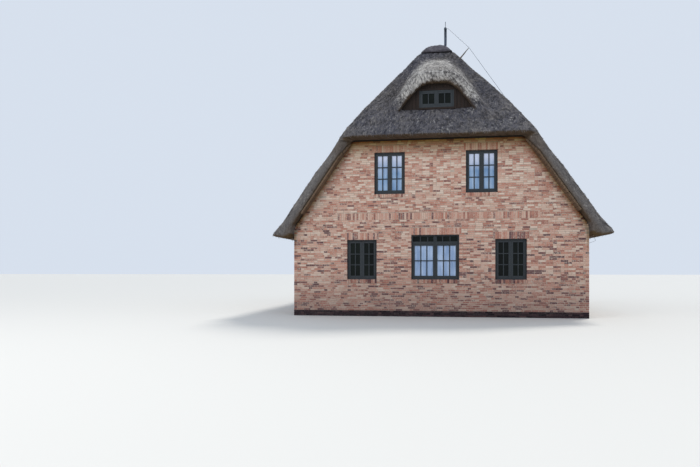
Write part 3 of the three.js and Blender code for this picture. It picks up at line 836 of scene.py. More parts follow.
thatchValues = {
    "voxel": 0.072, "swell": 0.012, "smoothing": 5, "waves": 0.022, "waveScale": 0.55,
    "lumps": 0.012, "lumpScales": (2.6, 1.4), "roughness": 0.011, "roughScale": 11.0,
    "bareFrom": -0.3, "coveredShare": 0.25, "topRise": 3, "layStretch": 1.25, "seed": 4,
    "hiddenInset": 0.15, "hiddenDepth": 0.35, "hiddenAngle": 12, "vergeFacing": 0.8, "vergeBelow": 0.05,
    "lipFrom": -5.2, "lipHalf": 2.4, "lipDepth": 0.3, "lipFoot": 6.75, "lipNear": -6.2, "lipFade": 0.5,
    "lipUnder": 0.3, "lipSmoothing": 7, "lipFill": 0.05, "lipDrop": 0.07,
    "eaveFrom": 5.3, "eaveFade": 0.25, "eaveDraw": 0.05,
    "cornerBulge": 0.075, "cornerReach": 1.1, "cornerMiddle": 7.6, "cornerHalf": 1.5,
    "vergePull": 0.045, "pullFrom": 6.9, "pullFade": 0.4, "pullBeyond": 2.9, "pullMiddle": 5.7,
    "pullHalf": 0.7,
    "reeds": 38500, "reedLength": 0.125, "reedRadius": 0.0105, "lean": 14, "leanSpread": 5,
    "sideSpread": 0.12, "lengths": (0.6, 1.3), "radii": (0.6, 1.4), "rootDepth": 0.008,
    "rooted": 0.3, "vergeLength": 0.75, "vergeRadius": 0.7, "reedsFacing": -0.25, "reedsBelow": 9.99,
    "bodyTone": 0.35,
}
weatherAndLightValues = {
    "hipFade": 0.5, "paleHalf": 0.87, "paleNarrows": 0.6, "paleAt": 9.2, "paleSide": 0.55,
    "paleFrom": 7.6, "paleTo": 9.85, "paleFade": 0.5, "paleFacing": -0.4,
    "lipY": -6.62, "lipFade": 0.2, "lipHalf": 1.9, "lipSide": 0.9, "lipFrom": 7.2, "lipRise": 0.4,
    "cutAndShadeFrom": 0.22, "cutAndShadeFade": 0.3, "endsDepth": 0.14, "endsStart": 1.7, "overhangShadeFrom": 5.5,
    "overhangShadeFade": 0.4, "endsMost": 0.42, "underHeight": 2.766, "underSlope": 0.416, "underAt": 5.39,
    "underFade": 0.06, "underFrom": 4.7, "underShare": 1.2, "vergeDepth": 0.1, "vergeStart": 0.4,
    "vergeFrom": 7.03, "vergeAbove": 0.03, "vergeTone": 0.45, "vergeEven": 0.6,
    "lowHip": 7.7, "lowFade": 0.9, "lowTone": 0.13, "highHip": 7.9, "highFade": 0.5, "highTone": 0.12,
}
thatchNodes = ["left_thatch", "right_thatch", "front_hip_thatch", "back_hip_thatch", "eyebrow_thatch"]


def remeshed(name, nodes, voxel, swell=0.0):
    # One skin over several nodes, each grown a little so that they melt together, less loose crumbs
    shape = bmesh.new()
    for node in nodes:
        known = len(shape.verts)
        shape.from_mesh(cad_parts[node].data)
        shape.verts.ensure_lookup_table()
        bmesh.ops.remove_doubles(shape, verts=shape.verts[known:], dist=0.0001)
    shape.normal_update()
    for vertex in shape.verts:
        vertex.co += vertex.normal * swell
    mesh = bpy.data.meshes.new(name)
    shape.to_mesh(mesh)
    shape.free()
    made = linkObject(name, mesh)
    modifier = made.modifiers.new("voxels", "REMESH")
    modifier.mode = "VOXEL"
    modifier.voxel_size = voxel
    scene = bpy.context.evaluated_depsgraph_get()
    shape = bmesh.new()
    shape.from_mesh(made.evaluated_get(scene).to_mesh())
    bpy.data.objects.remove(made)
    dropCrumbs(shape)
    return shape


def dropCrumbs(shape):
    # Keeps the largest connected shell
    unseen = set(shape.verts)
    shells = []
    while unseen:
        edge = [unseen.pop()]
        shell = list(edge)
        while edge:
            found = []
            for vertex in edge:
                for link in vertex.link_edges:
                    other = link.other_vert(vertex)
                    if other in unseen:
                        unseen.remove(other)
                        found.append(other)
            shell += found
            edge = found
        shells.append(shell)
    shells.sort(key=len)
    for shell in shells[:-1]:
        bmesh.ops.delete(shape, geom=shell, context="VERTS")


def meshOf(name, shape):
    mesh = bpy.data.meshes.new(name)
    shape.to_mesh(mesh)
    shape.free()
    mesh.polygons.foreach_set("use_smooth", [True] * len(mesh.polygons))
    return mesh


def smoothed(shape, verts, rounds):
    for i in range(rounds):
        bmesh.ops.smooth_vert(
            shape, verts=verts, factor=0.5, use_axis_x=True, use_axis_y=True, use_axis_z=True
        )
    shape.normal_update()


def displaced(shape, moveOf):
    # Moves every point by what moveOf() says of it, all worked out before any has moved
    moves = [moveOf(vertex) for vertex in shape.verts]
    for vertex, move in zip(shape.verts, moves):
        vertex.co += move


def meshArrays(mesh):
    found = []
    for key in ("co", "normal"):
        values = np.empty(len(mesh.vertices) * 3, np.float32)
        mesh.vertices.foreach_get(key, values)
        found.append(values.reshape(-1, 3).astype(float))
    return found


def onHip(points, normals):
    return (points[:, 2] > roofShape["hipEaveFoot"]) & (np.abs(normals[:, 1]) > np.abs(normals[:, 0]))


def onVerge(points, normals):
    low = points[:, 2] < roofShape["hipEaveFoot"] - thatchValues["vergeBelow"]
    return (np.abs(normals[:, 1]) > thatchValues["vergeFacing"]) & low


def layOf(points, normals):
    # Across, along and square to the lay of the reeds
    x, y, z = np.abs(points[:, 0]), np.abs(points[:, 1]), points[:, 2]
    main = points[:, 1] + (z + roofShape["slope"] * x) / slopeLength
    hip = points[:, 0] + (z + roofShape["hipSlope"] * y) / hipLength
    across = np.where(onHip(points, normals), hip, main)
    return np.stack([across, z * thatchValues["layStretch"], main - hip], axis=1)


def through(value, reach):
    # How far a value is through its reach, from 0 to 1
    return np.clip(value / reach, 0, 1)


def weatherAndLightOf(points, normals, tone):
    # Tone, painted sunlight on the hood and the roof above it, brown cut ends below darkened by painted
    # shade on undersides and under the overhangs, painted shade high on the hip, and damp on the hips
    v = weatherAndLightValues
    x, y, z = np.abs(points[:, 0]), points[:, 1], points[:, 2]
    hipFoot = roofShape["hipEaveFoot"]
    # Painted sunlight over the middle of the hip above the hood, and along the hood's lip
    half = v["paleHalf"] - v["paleNarrows"] * (z - v["paleAt"])
    middle = through(half - x, v["paleSide"]) * through(z - v["paleFrom"], v["paleFade"])
    middle = middle * through(v["paleTo"] - z, v["paleFade"])
    lip = through(v["lipY"] - y, v["lipFade"]) * through(v["lipHalf"] - x, v["lipSide"])
    lip = lip * through(z - v["lipFrom"], v["lipRise"])
    hip = np.clip((slopeHeight(x) - hipHeight(y)) / v["hipFade"] + 0.5, 0, 1) * (z > hipFoot)
    sunPatch = np.maximum(middle * hip, lip) * (y < 0) * (normals[:, 2] > v["paleFacing"])
    # Brown cut ends, darkened as painted shade where the thatch faces down
    foot = through(-normals[:, 2] - v["cutAndShadeFrom"], v["cutAndShadeFade"])
    depth = (slopeHeight(x) - z) / slopeLength
    # Brown cut ends deep down the verge towards its lower arris, darkened as painted shade, and painted
    # shadow high on the verge under the hip's overhang
    brown = np.maximum(depth / v["endsDepth"] - v["endsStart"], (z - v["overhangShadeFrom"]) / v["overhangShadeFade"])
    # Painted shadow on the eave's cut face at the foot of the verge
    under = v["underHeight"] + v["underSlope"] * (v["underAt"] - x) - z
    under = through(under, v["underFade"]) * (x > v["underFrom"])
    verge = np.clip(depth / v["vergeDepth"] - v["vergeStart"], 0, 1) * (np.abs(y) > v["vergeFrom"])
    verge = verge * (z < hipFoot + v["vergeAbove"])
    foot = np.maximum(foot, verge * np.maximum(np.clip(brown, 0, v["endsMost"]), under * v["underShare"]))
    low = hip * through(v["lowHip"] - z, v["lowFade"]) * v["lowTone"]
    # Painted shade: darker high on the hip, outside the sunlit patch
    high = hip * (1 - sunPatch) * through(z - v["highHip"], v["highFade"]) * v["highTone"]
    tone = tone + verge * (v["vergeTone"] - tone * v["vergeEven"]) + low - high
    return np.stack([tone, sunPatch, foot, hip * (1 - sunPatch) - verge], axis=1)


def dropHidden(shape):
    # The underside over the rooms lies on boards, so its small faces melt into a few large ones
    v = thatchValues
    hidden = set()
    for face in shape.faces:
        x, y, z = face.calc_center_median()
        below = min(slopeHeight(x), hipHeight(y)) - z
        inside = abs(x) < wallHalf - v["hiddenInset"] and abs(y) < lengthHalf - v["hiddenInset"]
        if inside and face.normal.z < -0.2 and below > v["hiddenDepth"]:
            hidden.add(face)
    edges = [edge for edge in shape.edges if all(face in hidden for face in edge.link_faces)]
    verts = [vertex for vertex in shape.verts if all(face in hidden for face in vertex.link_faces)]
    bmesh.ops.dissolve_limit(shape, angle_limit=math.radians(v["hiddenAngle"]), verts=verts, edges=edges)


def held(value):
    # A single value kept between 0 and 1
    return max(0, min(1, value))


def rolled(place):
    # The corners of the hips bulge, and the upper ends of the verges draw in
    v = thatchValues
    corner = max(0, 1 - abs(slopeHeight(place.x) - hipHeight(place.y)) / v["cornerReach"])
    bulge = corner * max(0, 1 - ((place.z - v["cornerMiddle"]) / v["cornerHalf"]) ** 2)
    end = held((abs(place.y) - v["pullFrom"]) / v["pullFade"]) * (abs(place.x) > v["pullBeyond"])
    pull = end * max(0, 1 - ((place.z - v["pullMiddle"]) / v["pullHalf"]) ** 2)
    return bulge * v["cornerBulge"] - pull * v["vergePull"]


def thatchMove(vertex):
    v = thatchValues
    place = vertex.co
    bare = 1.0 if vertex.normal.z > v["bareFrom"] else v["coveredShare"]
    level, upright = v["lumpScales"]
    wave = noise.noise(place * v["waveScale"]) * v["waves"]
    lump = noise.noise(Vector((place.x * level, place.y * level, place.z * upright))) * v["lumps"]
    rough = noise.noise(place * v["roughScale"]) * v["roughness"]
    top = held(vertex.normal.z * v["topRise"])
    move = vertex.normal * ((wave + lump + rough) * bare + rolled(place) * top - v["swell"])
    drawn = held((abs(place.x) - v["eaveFrom"]) / v["eaveFade"])
    move.x += math.copysign(v["eaveDraw"] * drawn, place.x)
    return move


def softenThatch(shape):
    v = thatchValues
    smoothed(shape, shape.verts, v["smoothing"])
    lip = [p for p in shape.verts if p.co.y < v["lipFrom"] and abs(p.co.x) < v["lipHalf"]]
    lip = [p for p in lip if p.co.z > hipHeight(p.co.y) - v["lipDepth"] and p.co.z > v["lipFoot"]]
    smoothed(shape, lip, v["lipSmoothing"])
    for vertex in lip:
        near = held((v["lipNear"] - vertex.co.y) / v["lipFade"])
        under = held(v["lipUnder"] - vertex.normal.z)
        vertex.co += vertex.normal * v["lipFill"] * near
        vertex.co.z -= v["lipDrop"] * near * under
    dropHidden(shape)
    shape.normal_update()
    displaced(shape, thatchMove)


def reedSpots(mesh, count, draw, keep):
    # Random places on the faces that keep() picks, with the faces' normals
    mesh.calc_loop_triangles()
    corners = np.empty(len(mesh.loop_triangles) * 3, np.int32)
    mesh.loop_triangles.foreach_get("vertices", corners)
    points, normals = meshArrays(mesh)
    corners = corners.reshape(-1, 3)
    a, b, c = (points[corners[:, i]] for i in range(3))
    cross = np.cross(b - a, c - a)
    area = np.linalg.norm(cross, axis=1) / 2
    middle = (a + b + c) / 3
    facing = normals[corners].mean(axis=1)
    facing /= np.linalg.norm(facing, axis=1)[:, None]
    chosen = keep(middle, facing)
    weight = area * chosen
    picks = draw.choice(len(area), count, p=weight / weight.sum())
    s, t = draw.random(count), draw.random(count)
    over = s + t > 1
    s[over], t[over] = 1 - s[over], 1 - t[over]
    spots = a[picks] + (b - a)[picks] * s[:, None] + (c - a)[picks] * t[:, None]
    return spots, facing[picks]


def unit(vectors):
    return vectors / np.maximum(np.linalg.norm(vectors, axis=1), 1e-9)[:, None]


def addReeds(name, mesh, count, keep, seed, size=1.0, look="thatch"):
    v = thatchValues
    draw = np.random.default_rng(seed)
    spots, facing = reedSpots(mesh, count, draw, keep)
    down = np.tile([0.0, 0.0, -1.0], (count, 1))
    verge = onVerge(spots, facing)
    down[verge, 0] = np.sign(spots[verge, 0])
    down[verge, 2] = -roofShape["slope"]
    flow = unit(down - facing * (down * facing).sum(axis=1)[:, None])
    lean = np.radians(v["lean"] + draw.normal(0, v["leanSpread"], count))[:, None]
    aside = np.cross(facing, flow) * draw.normal(0, v["sideSpread"], count)[:, None]
    heading = unit(flow * np.cos(lean) + facing * np.sin(lean) + aside)
    length = v["reedLength"] * size * draw.uniform(*v["lengths"], count)
    radius = v["reedRadius"] * size * draw.uniform(*v["radii"], count)
    length[verge] *= v["vergeLength"]
    radius[verge] *= v["vergeRadius"]
    second = unit(np.cross(facing, heading))
    third = np.cross(heading, second)
    points, faces = reedShape
    start = spots - facing * v["rootDepth"] * size - heading * v["rooted"] * length[:, None]
    placed = start[:, None, :]
    for axis, (way, reach) in enumerate(((second, radius), (third, radius), (heading, length))):
        placed = placed + points[None, :, axis, None] * (way * reach[:, None])[:, None, :]
    made = joinCopies(name, placed, faces)
    weather = weatherAndLightOf(spots, facing, draw.random(count))
    giveAttribute(made, "lay", "FLOAT_VECTOR", np.repeat(layOf(spots, facing), len(points), axis=0))
    giveAttribute(made, "weather", "FLOAT_COLOR", np.repeat(weather, len(points), axis=0))
    return finishPiece(name, made, looks[look])


def addThatch():
    shape = remeshed("thatch_body", thatchNodes, thatchValues["voxel"], thatchValues["swell"])
    softenThatch(shape)
    mesh = meshOf("thatch_body", shape)
    points, normals = meshArrays(mesh)
    giveAttribute(mesh, "lay", "FLOAT_VECTOR", layOf(points, normals))
    tone = np.full(len(points), thatchValues["bodyTone"])
    giveAttribute(mesh, "weather", "FLOAT_COLOR", weatherAndLightOf(points, normals, tone))
    finishPiece("thatch_body", mesh, looks["thatch"], thatchNodes)
    print("thatch body has", len(mesh.polygons), "faces")

    def outer(points, normals):
        low = points[:, 2] < thatchValues["reedsBelow"]
        return (normals[:, 2] > thatchValues["reedsFacing"]) & low

    # The share of the reeds that lies on a side, and what belongs to it
    parts = {
        "left_reeds": (1.0, lambda p, n: outer(p, n) & (p[:, 0] < 0) & ~onHip(p, n)),
        "right_reeds": (1.0, lambda p, n: outer(p, n) & (p[:, 0] >= 0) & ~onHip(p, n)),
        "front_reeds": (0.4, lambda p, n: outer(p, n) & (p[:, 1] < 0) & onHip(p, n)),
        "back_reeds": (0.3, lambda p, n: outer(p, n) & (p[:, 1] >= 0) & onHip(p, n)),
    }
    for number, (name, (part, keep)) in enumerate(parts.items()):
        count = int(thatchValues["reeds"] * part)
        addReeds(name, mesh, count, keep, thatchValues["seed"] + number)


addThatch()
print("thatch is laid")


# Turf cap on the ridge

capValues = {
    "voxel": 0.035, "smoothing": 2, "lumps": 0.024, "lumpScale": 3.1, "fine": 0.015,
    "fineScale": 13.0, "sink": 0.014, "bareFrom": -0.2, "coveredShare": 0.3,
    "tufts": 9000, "tuftSize": 0.5, "tuftsFacing": -0.3, "seed": 21,
}


def capMove(vertex):
    v = capValues
    lump = noise.noise(vertex.co * v["lumpScale"]) * v["lumps"]
    fine = noise.noise(vertex.co * v["fineScale"]) * v["fine"]
    upper = 1.0 if vertex.normal.z > v["bareFrom"] else v["coveredShare"]
    return vertex.normal * ((lump + fine) * upper - v["sink"])


def addCap():
    v = capValues
    shape = remeshed("turf_cap", ["ridge_cap"], v["voxel"])
    smoothed(shape, shape.verts, v["smoothing"])
    displaced(shape, capMove)
    mesh = meshOf("turf_cap", shape)
    finishPiece("turf_cap", mesh, looks["cap"], ["ridge_cap"])

    def outer(points, normals):
        return normals[:, 2] > v["tuftsFacing"]

    addReeds("turf_tufts", mesh, v["tufts"], outer, v["seed"], v["tuftSize"], "cap")


addCap()
print("cap is on the ridge")


# Windows: outer frame, two sashes, glazing bars and panes

sashValues = {
    "outer": 0.056, "stile": 0.062, "meeting": 0.075, "kick": 1.3, "bar": 0.034, "depth": 0.06,
    "sashProud": 0.008, "sashShort": 0.004, "gap": 0.002, "tuck": 0.004, "seat": 0.001, "parting": 0.0015,
    "barSet": 0.006, "barDepth": 0.03, "crossSet": 0.001, "pane": 0.006, "paneBack": 0.034,
    "paneForward": 0.012, "chamfer": 0.004, "transom": 0.085, "transomProud": 0.012, "dripProud": 0.022,
    "cover": 0.022, "coverProud": 0.010, "coverBack": 0.01, "topHeight": 0.273, "topLights": 6,
    "topBar": (0.002, 0.045),
    # Panes across and up in each sash
    "panes": {"middle": (3, 2), "eyebrow": (2, 1), "other": (2, 3)},
}


def addMembers(name, members, node, look, nodes=(), side=None, chamfer=None):
    # Members are start, end, front, back, low, high from a node's lower middle at its outer face
    turn = wallTurns.get(side or node.split("_")[0], 0)
    flat = flatBox(node, turn)
    middle = (flat[:, 0].min() + flat[:, 0].max()) / 2
    origin = np.array([middle, flat[:, 1].min(), flat[:, 2].min()])
    values = np.array(members)
    sizes = values[:, 1::2] - values[:, 0::2]
    centres = (values[:, 1::2] + values[:, 0::2]) / 2 + origin
    points = stretchBlocks(blockShape[0], sizes, chamfer or sashValues["chamfer"])
    addBlocks(name, turnPoints(points + centres[:, None, :], turn), looks[look], nodes)


def frameSize(node):
    low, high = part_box(node)
    return max(high.x - low.x, high.y - low.y), high.z - low.z


def railMember(left, right, front, back, low, high):
    # A rail runs a little into the uprights at its ends and stands a hair behind them
    seat = sashValues["seat"]
    return (left - seat, right + seat, front + seat, back - seat, low, high)


def lightMembers(left, right, low, high, columns, rows, stiles):
    # One sash: its stiles and rails, its bars, and its panes
    v = sashValues
    front, back = -v["sashProud"], v["depth"] - v["sashShort"]
    a, b = left + stiles[0], right - stiles[1]
    c, d = low + v["stile"] * v["kick"], high - v["stile"]
    members = [
        (left, a, front, back, low, high),
        (b, right, front, back, low, high),
        railMember(a, b, front, back, d, high),
        railMember(a, b, front, back, low, c),
    ]
    half = v["bar"] / 2
    bars = (front + v["barSet"], front + v["barSet"] + v["barDepth"])
    for i in range(1, columns):
        x = a + (b - a) * i / columns
        members.append((x - half, x + half, *bars, c, d))
    for i in range(1, rows):
        z = c + (d - c) * i / rows
        members.append((a, b, bars[0] + v["crossSet"], bars[1] - v["crossSet"], z - half, z + half))

    def paneEnds(start, end, i, count):
        # Panes run into the sash at its edges and stay apart behind the bars
        near = v["gap"] if i else -v["tuck"]
        far = v["gap"] if i + 1 < count else -v["tuck"]
        return start + (end - start) * i / count + near, start + (end - start) * (i + 1) / count - far

    pane = (v["paneBack"] - v["paneForward"], v["paneBack"] - v["paneForward"] + v["pane"])
    panes = [
        (*paneEnds(a, b, i, columns), *pane, *paneEnds(c, d, j, rows))
        for i in range(columns) for j in range(rows)
    ]
    return members, panes


def windowMembers(width, height, low, high, columns, rows):
    v = sashValues
    half = width / 2
    inner = half - v["outer"]
    members = [
        (-half, -half + v["outer"], 0, v["depth"], 0, height),
        (inner, half, 0, v["depth"], 0, height),
        railMember(-half + v["outer"], inner, 0, v["depth"], height - v["outer"], height),
        (-half + v["outer"], inner, -v["dripProud"], v["depth"], 0, v["outer"]),
    ]
    panes = []
    for sign in (-1, 1):
        ends = sorted((sign * v["parting"], sign * inner))
        stiles = (v["stile"], v["meeting"])[::-sign]
        made, glass = lightMembers(*ends, low, high, columns, rows, stiles)
        members += made
        panes += glass
    cover = (-v["sashProud"] - v["coverProud"], v["coverBack"])
    members.append((-v["cover"], v["cover"], *cover, v["outer"], height - v["outer"]))
    return members, panes


def topLights(width, height, split):
    # A transom with a fixed row of small lights over it, and their pane
    v = sashValues
    low, high = split + v["transom"], height - v["outer"]
    half = width / 2 - v["outer"]
    members = [(-half, half, -v["transomProud"], v["depth"], split, low)]
    count = v["topLights"]
    for i in range(1, count):
        x = -half + 2 * half * i / count
        reach = v["stile"] if i == count // 2 else v["bar"] / 2
        members.append((x - reach, x + reach, *v["topBar"], low, high))
    return members, [(-half, half, v["paneBack"], v["paneBack"] + v["pane"], low, high)]


def addWindow(node, look):
    v = sashValues
    width, height = frameSize(node)
    name = node[: -len("_frame")]
    kind = next((key for key in v["panes"] if key in node), "other")
    top = height - v["outer"]
    if kind == "middle":
        top = height - v["topHeight"] - v["transom"] / 2
    members, panes = windowMembers(width, height, v["outer"], top, *v["panes"][kind])
    if kind == "middle":
        upper, glass = topLights(width, height, top)
        members += upper
        addMembers(name + "_top_panes", glass, node, "darkGlass")
    addMembers(name + "_casement", members, node, "frame", [node])
    addMembers(name + "_panes", panes, node, look, [name + "_glass"])


kinds = {"upper": "veiledSkyGlass", "middle": "curtainReflectGlass"}
for node in nodeNames:
    if node.endswith("_frame") and node != "door_frame":
        addWindow(node, next((kinds[key] for key in kinds if key in node), "darkGlass"))
print("windows are glazed")


# Boards under the long slopes, laid along the house, with their ends showing at the verges

plankValues = {
    "width": 0.14, "joint": 0.004, "thick": 0.0592, "depth": 0.3665, "chamfer": 0.006, "setBack": 0.04,
    "top": 9.98, "topDrop": 0.05, "hipGap": 0.08, "unevenness": 0.006, "seed": 8,
}


def addPlanks(name, sign):
    v = plankValues
    nodes = [name + "_roof_boards"]
    draw = np.random.default_rng(v["seed"])
    fall = math.atan(roofShape["slope"])
    down = np.array([math.cos(fall), 0, -math.sin(fall)])
    out = np.array([math.sin(fall), 0, math.cos(fall)])
    middle = np.array([wallHalf, 0, slopeHeight(wallHalf)]) - out * (v["depth"] + v["thick"] / 2)
    at = middle - down * (v["width"] / 2 + v["thick"] / 2 / math.tan(fall))
    sizes, centres = [], []
    while at[2] < v["top"] - roofShape["slope"] * v["topDrop"]:
        room = (slopeHeight(at[0], v["depth"]) - roofShape["hipEave"]) / roofShape["hipSlope"]
        room += v["depth"] * hipLength / roofShape["hipSlope"]
        back = v["setBack"] + abs(draw.normal(0, v["unevenness"]))
        reach = roofShape["verge"] - max(back, room + v["hipGap"])
        sizes.append((v["width"] - v["joint"], 2 * reach, v["thick"]))
        centres.append(at.copy())
        at = at - down * v["width"]
    points = stretchBlocks(blockShape[0], np.array(sizes), v["chamfer"])
    turned = points[..., :1] * down + points[..., 1:2] * [0, 1, 0] + points[..., 2:] * out
    turned += np.array(centres)[:, None, :]
    faces = blockShape[1]
    if sign < 0:
        turned[..., 0] *= -1
        faces = [face[::-1] for face in faces]
    name += "_planks"
    finishPiece(name, joinCopies(name, turned, faces), looks["soffitBoards"], nodes)


addPlanks("left", -1)
addPlanks("right", 1)


# Boarded face of the eyebrow: upright planks up into the hood, and a flat trim round the window

eyebrowValues = {
    "flat": 0.3, "spread": 1.8, "rise": 1.218, "foot": 6.852, "climb": 0.56, "run": 0.25, "plank": 0.12,
    "joint": 0.004, "thick": 0.048, "tuck": 0.03, "trim": 0.07, "trimThick": 0.018, "trimSeat": 0.002,
    "sillProud": 0.02, "gap": 0.001,
}


def hoodHeight(x):
    v = eyebrowValues
    t = min(max((abs(x) - v["flat"]) / (v["spread"] - v["flat"]), 0), 1)
    return v["foot"] + v["rise"] * 0.5 * (1 + math.cos(math.pi * t)) + v["climb"] * v["run"]


def addEyebrowPlanks():
    v = eyebrowValues
    low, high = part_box("eyebrow_face")
    windowLow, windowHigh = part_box("eyebrow_window_frame")
    count = round((high.x - low.x) / v["plank"])
    middle = (low.x + high.x) / 2
    left, right = windowLow.x - middle, windowHigh.x - middle
    bottom, top = windowLow.z - low.z, windowHigh.z - low.z
    depth = (0.0, v["thick"])
    members = []
    for i in range(count):
        start = low.x + (high.x - low.x) * i / count + v["joint"] / 2
        end = low.x + (high.x - low.x) * (i + 1) / count - v["joint"] / 2
        head = hoodHeight(max(abs(start), abs(end)) - v["plank"] / 2) + v["tuck"] - low.z
        spans = [(0, head)]
        if end > windowLow.x and start < windowHigh.x:
            spans = [(0, bottom - v["gap"]), (top + v["gap"], head)]
        members += [(start - middle, end - middle, *depth, *span) for span in spans]
    front = (-v["trimThick"], v["trimSeat"])
    members += [
        (left - v["trim"], left, *front, bottom - v["trim"], top + v["trim"]),
        (right, right + v["trim"], *front, bottom - v["trim"], top + v["trim"]),
        railMember(left, right, *front, top, top + v["trim"]),
        (left, right, front[0] - v["sillProud"], v["trimSeat"], bottom - v["trim"], bottom),
    ]
    addMembers("eyebrow_planks", members, "eyebrow_face", "eyebrowBoards",
               ["eyebrow_face"])


addEyebrowPlanks()
print("boards are nailed")


# Entrance: casing, a leaf with rails, panels and a barred light, its lever, and the step

doorValues = {
    "stile": 0.12, "bottomRail": 0.24, "lockLow": 0.86, "lockHigh": 1.0, "lightLow": 1.5, "midLow": 1.42,
    "topRail": 0.12, "middleHalf": 0.045, "thick": 0.05, "railSet": 0.001, "panelBack": 0.014,
    "panelShort": 0.012, "fieldBack": 0.005, "fieldShort": 0.02, "fieldInset": 0.045, "chamfer": 0.005,
    "bar": 0.022, "barDepth": (0.006, 0.036), "paneDepth": (0.019, 0.025), "paneChamfer": 0.002,
    "jamb": 0.08, "sill": 0.04, "casingDepth": 0.07, "bead": 0.03, "beadDepth": (-0.012, 0.002),
    "nosing": 0.02, "tread": 0.05, "treadGap": 0.002, "stepChamfer": 0.012,
}


def panelMembers(left, right, low, high):
    v = doorValues
    inset = v["fieldInset"]
    panel = (v["panelBack"], v["thick"] - v["panelShort"])
    field = (v["fieldBack"], v["thick"] - v["fieldShort"])
    return [
        (left, right, *panel, low, high),
        (left + inset, right - inset, *field, low + inset, high - inset),
    ]


def leafMembers():
    v = doorValues
    width, height = frameSize("door_leaf")
    half = width / 2
    inner = half - v["stile"]
    middle = v["middleHalf"]
    full = (0.0, v["thick"])
    behind = (v["railSet"], v["thick"] - v["railSet"])
    light = (v["lightLow"], height - v["topRail"])
    members = [
        (-half, -inner, *full, 0, height),
        (inner, half, *full, 0, height),
        (-inner, inner, *behind, 0, v["bottomRail"]),
        (-inner, inner, *behind, v["lockLow"], v["lockHigh"]),
        (-inner, inner, *behind, v["midLow"], v["lightLow"]),
        (-inner, inner, *behind, height - v["topRail"], height),
        (-middle, middle, *behind, v["lockHigh"], v["midLow"]),
        (-middle, middle, *behind, v["bottomRail"], v["lockLow"]),
    ]
    for left, right in ((-inner, -middle), (middle, inner)):
        members += panelMembers(left, right, v["bottomRail"], v["lockLow"])
        members += panelMembers(left, right, v["lockHigh"], v["midLow"])
    for i in (1, 2):
        x = -inner + 2 * inner * i / 3
        members.append((x - v["bar"] / 2, x + v["bar"] / 2, *v["barDepth"], *light))
    return members, [(-inner, inner, *v["paneDepth"], *light)]


def casingMembers():
    v = doorValues
    width, height = frameSize("door_frame")
    half = width / 2
    inner = half - v["jamb"]
    depth, bead = (0.0, v["casingDepth"]), v["beadDepth"]
    return [
        (-half, -inner, *depth, 0, height),
        (inner, half, *depth, 0, height),
        railMember(-inner, inner, *depth, height - v["jamb"], height),
        (-inner, inner, -v["nosing"], v["casingDepth"], 0, v["sill"]),
        (-half, -half + v["bead"], *bead, 0, height),
        (half - v["bead"], half, *bead, 0, height),
        railMember(-half + v["bead"], half - v["bead"], *bead, height - v["bead"], height),
    ]


def stepMembers():
    # A block with an overhanging tread
    v = doorValues
    width, height = frameSize("door_step")
    low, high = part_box("door_step")
    half, deep = width / 2, high.x - low.x
    return [
        (-half + v["nosing"], half - v["nosing"], v["nosing"], deep, 0.0, height - v["tread"]),
        (-half, half, 0.0, deep, height - (v["tread"] - v["treadGap"]), height),
    ]


def addDoor():
    v = doorValues
    leaf, pane = leafMembers()
    for name, members, node, look, slot, nodes, chamfer in (
        ("panelled_door", leaf, "door_leaf", "door", "door", ["door_leaf"], v["chamfer"]),
        ("door_pane", pane, "door_leaf", "darkGlass", "window_glass", (), v["paneChamfer"]),
        ("door_casing", casingMembers(), "door_frame", "frame", "door", ["door_frame"], v["chamfer"]),
        ("step_slab", stepMembers(), "door_step", "stone", "step_stone", ["door_step"], v["stepChamfer"]),
    ):
        addMembers(name, members, node, look, nodes, "right", chamfer)


leverValues = {
    "rose": 0.028, "plate": 0.008, "neck": 0.009, "stand": 0.045, "lever": (0.014, 0.13, 0.019),
    "reach": 0.01, "keyRose": 0.8, "keyDrop": 0.09, "taper": 0.94, "bevel": 0.0025,
}


def bevelSharp(shape, width, angle=40, rounds=2):
    sharp = [e for e in shape.edges if e.is_manifold and e.calc_face_angle() > math.radians(angle)]
    bevelEdges(shape, sharp, width, rounds)


def addLever():
    v = leverValues
    low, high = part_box("door_handle")
    root = Vector((low.x, high.y - v["rose"], (low.z + high.z) / 2))
    sideways = Matrix.Rotation(math.radians(90), 4, "Y")
    shape = bmesh.new()
    for drop, radius, taper, length, segments in (
        (0, v["rose"], v["taper"], v["plate"], 32),
        (v["keyDrop"], v["rose"] * v["keyRose"], v["taper"], v["plate"], 32),
        (0, v["neck"], 1, v["stand"], 24),
    ):
        centre = root + Vector((length / 2, 0, -drop))
        bmesh.ops.create_cone(
            shape, cap_ends=True, segments=segments, radius1=radius, radius2=radius * taper,
            depth=length, matrix=Matrix.Translation(centre) @ sideways,
        )
    centre = root + Vector((v["stand"], v["reach"] - v["lever"][1] / 2, 0))
    size = Matrix.Diagonal((*v["lever"], 1))
    bmesh.ops.create_cube(shape, size=1, matrix=Matrix.Translation(centre) @ size)
    bevelSharp(shape, v["bevel"])
    finishPiece("door_lever", meshOf("door_lever", shape), looks["handle"], ["door_handle"])


addDoor()
addLever()
print("door is hung")


# Lightning mast, wooden posts and wall clips of the wire

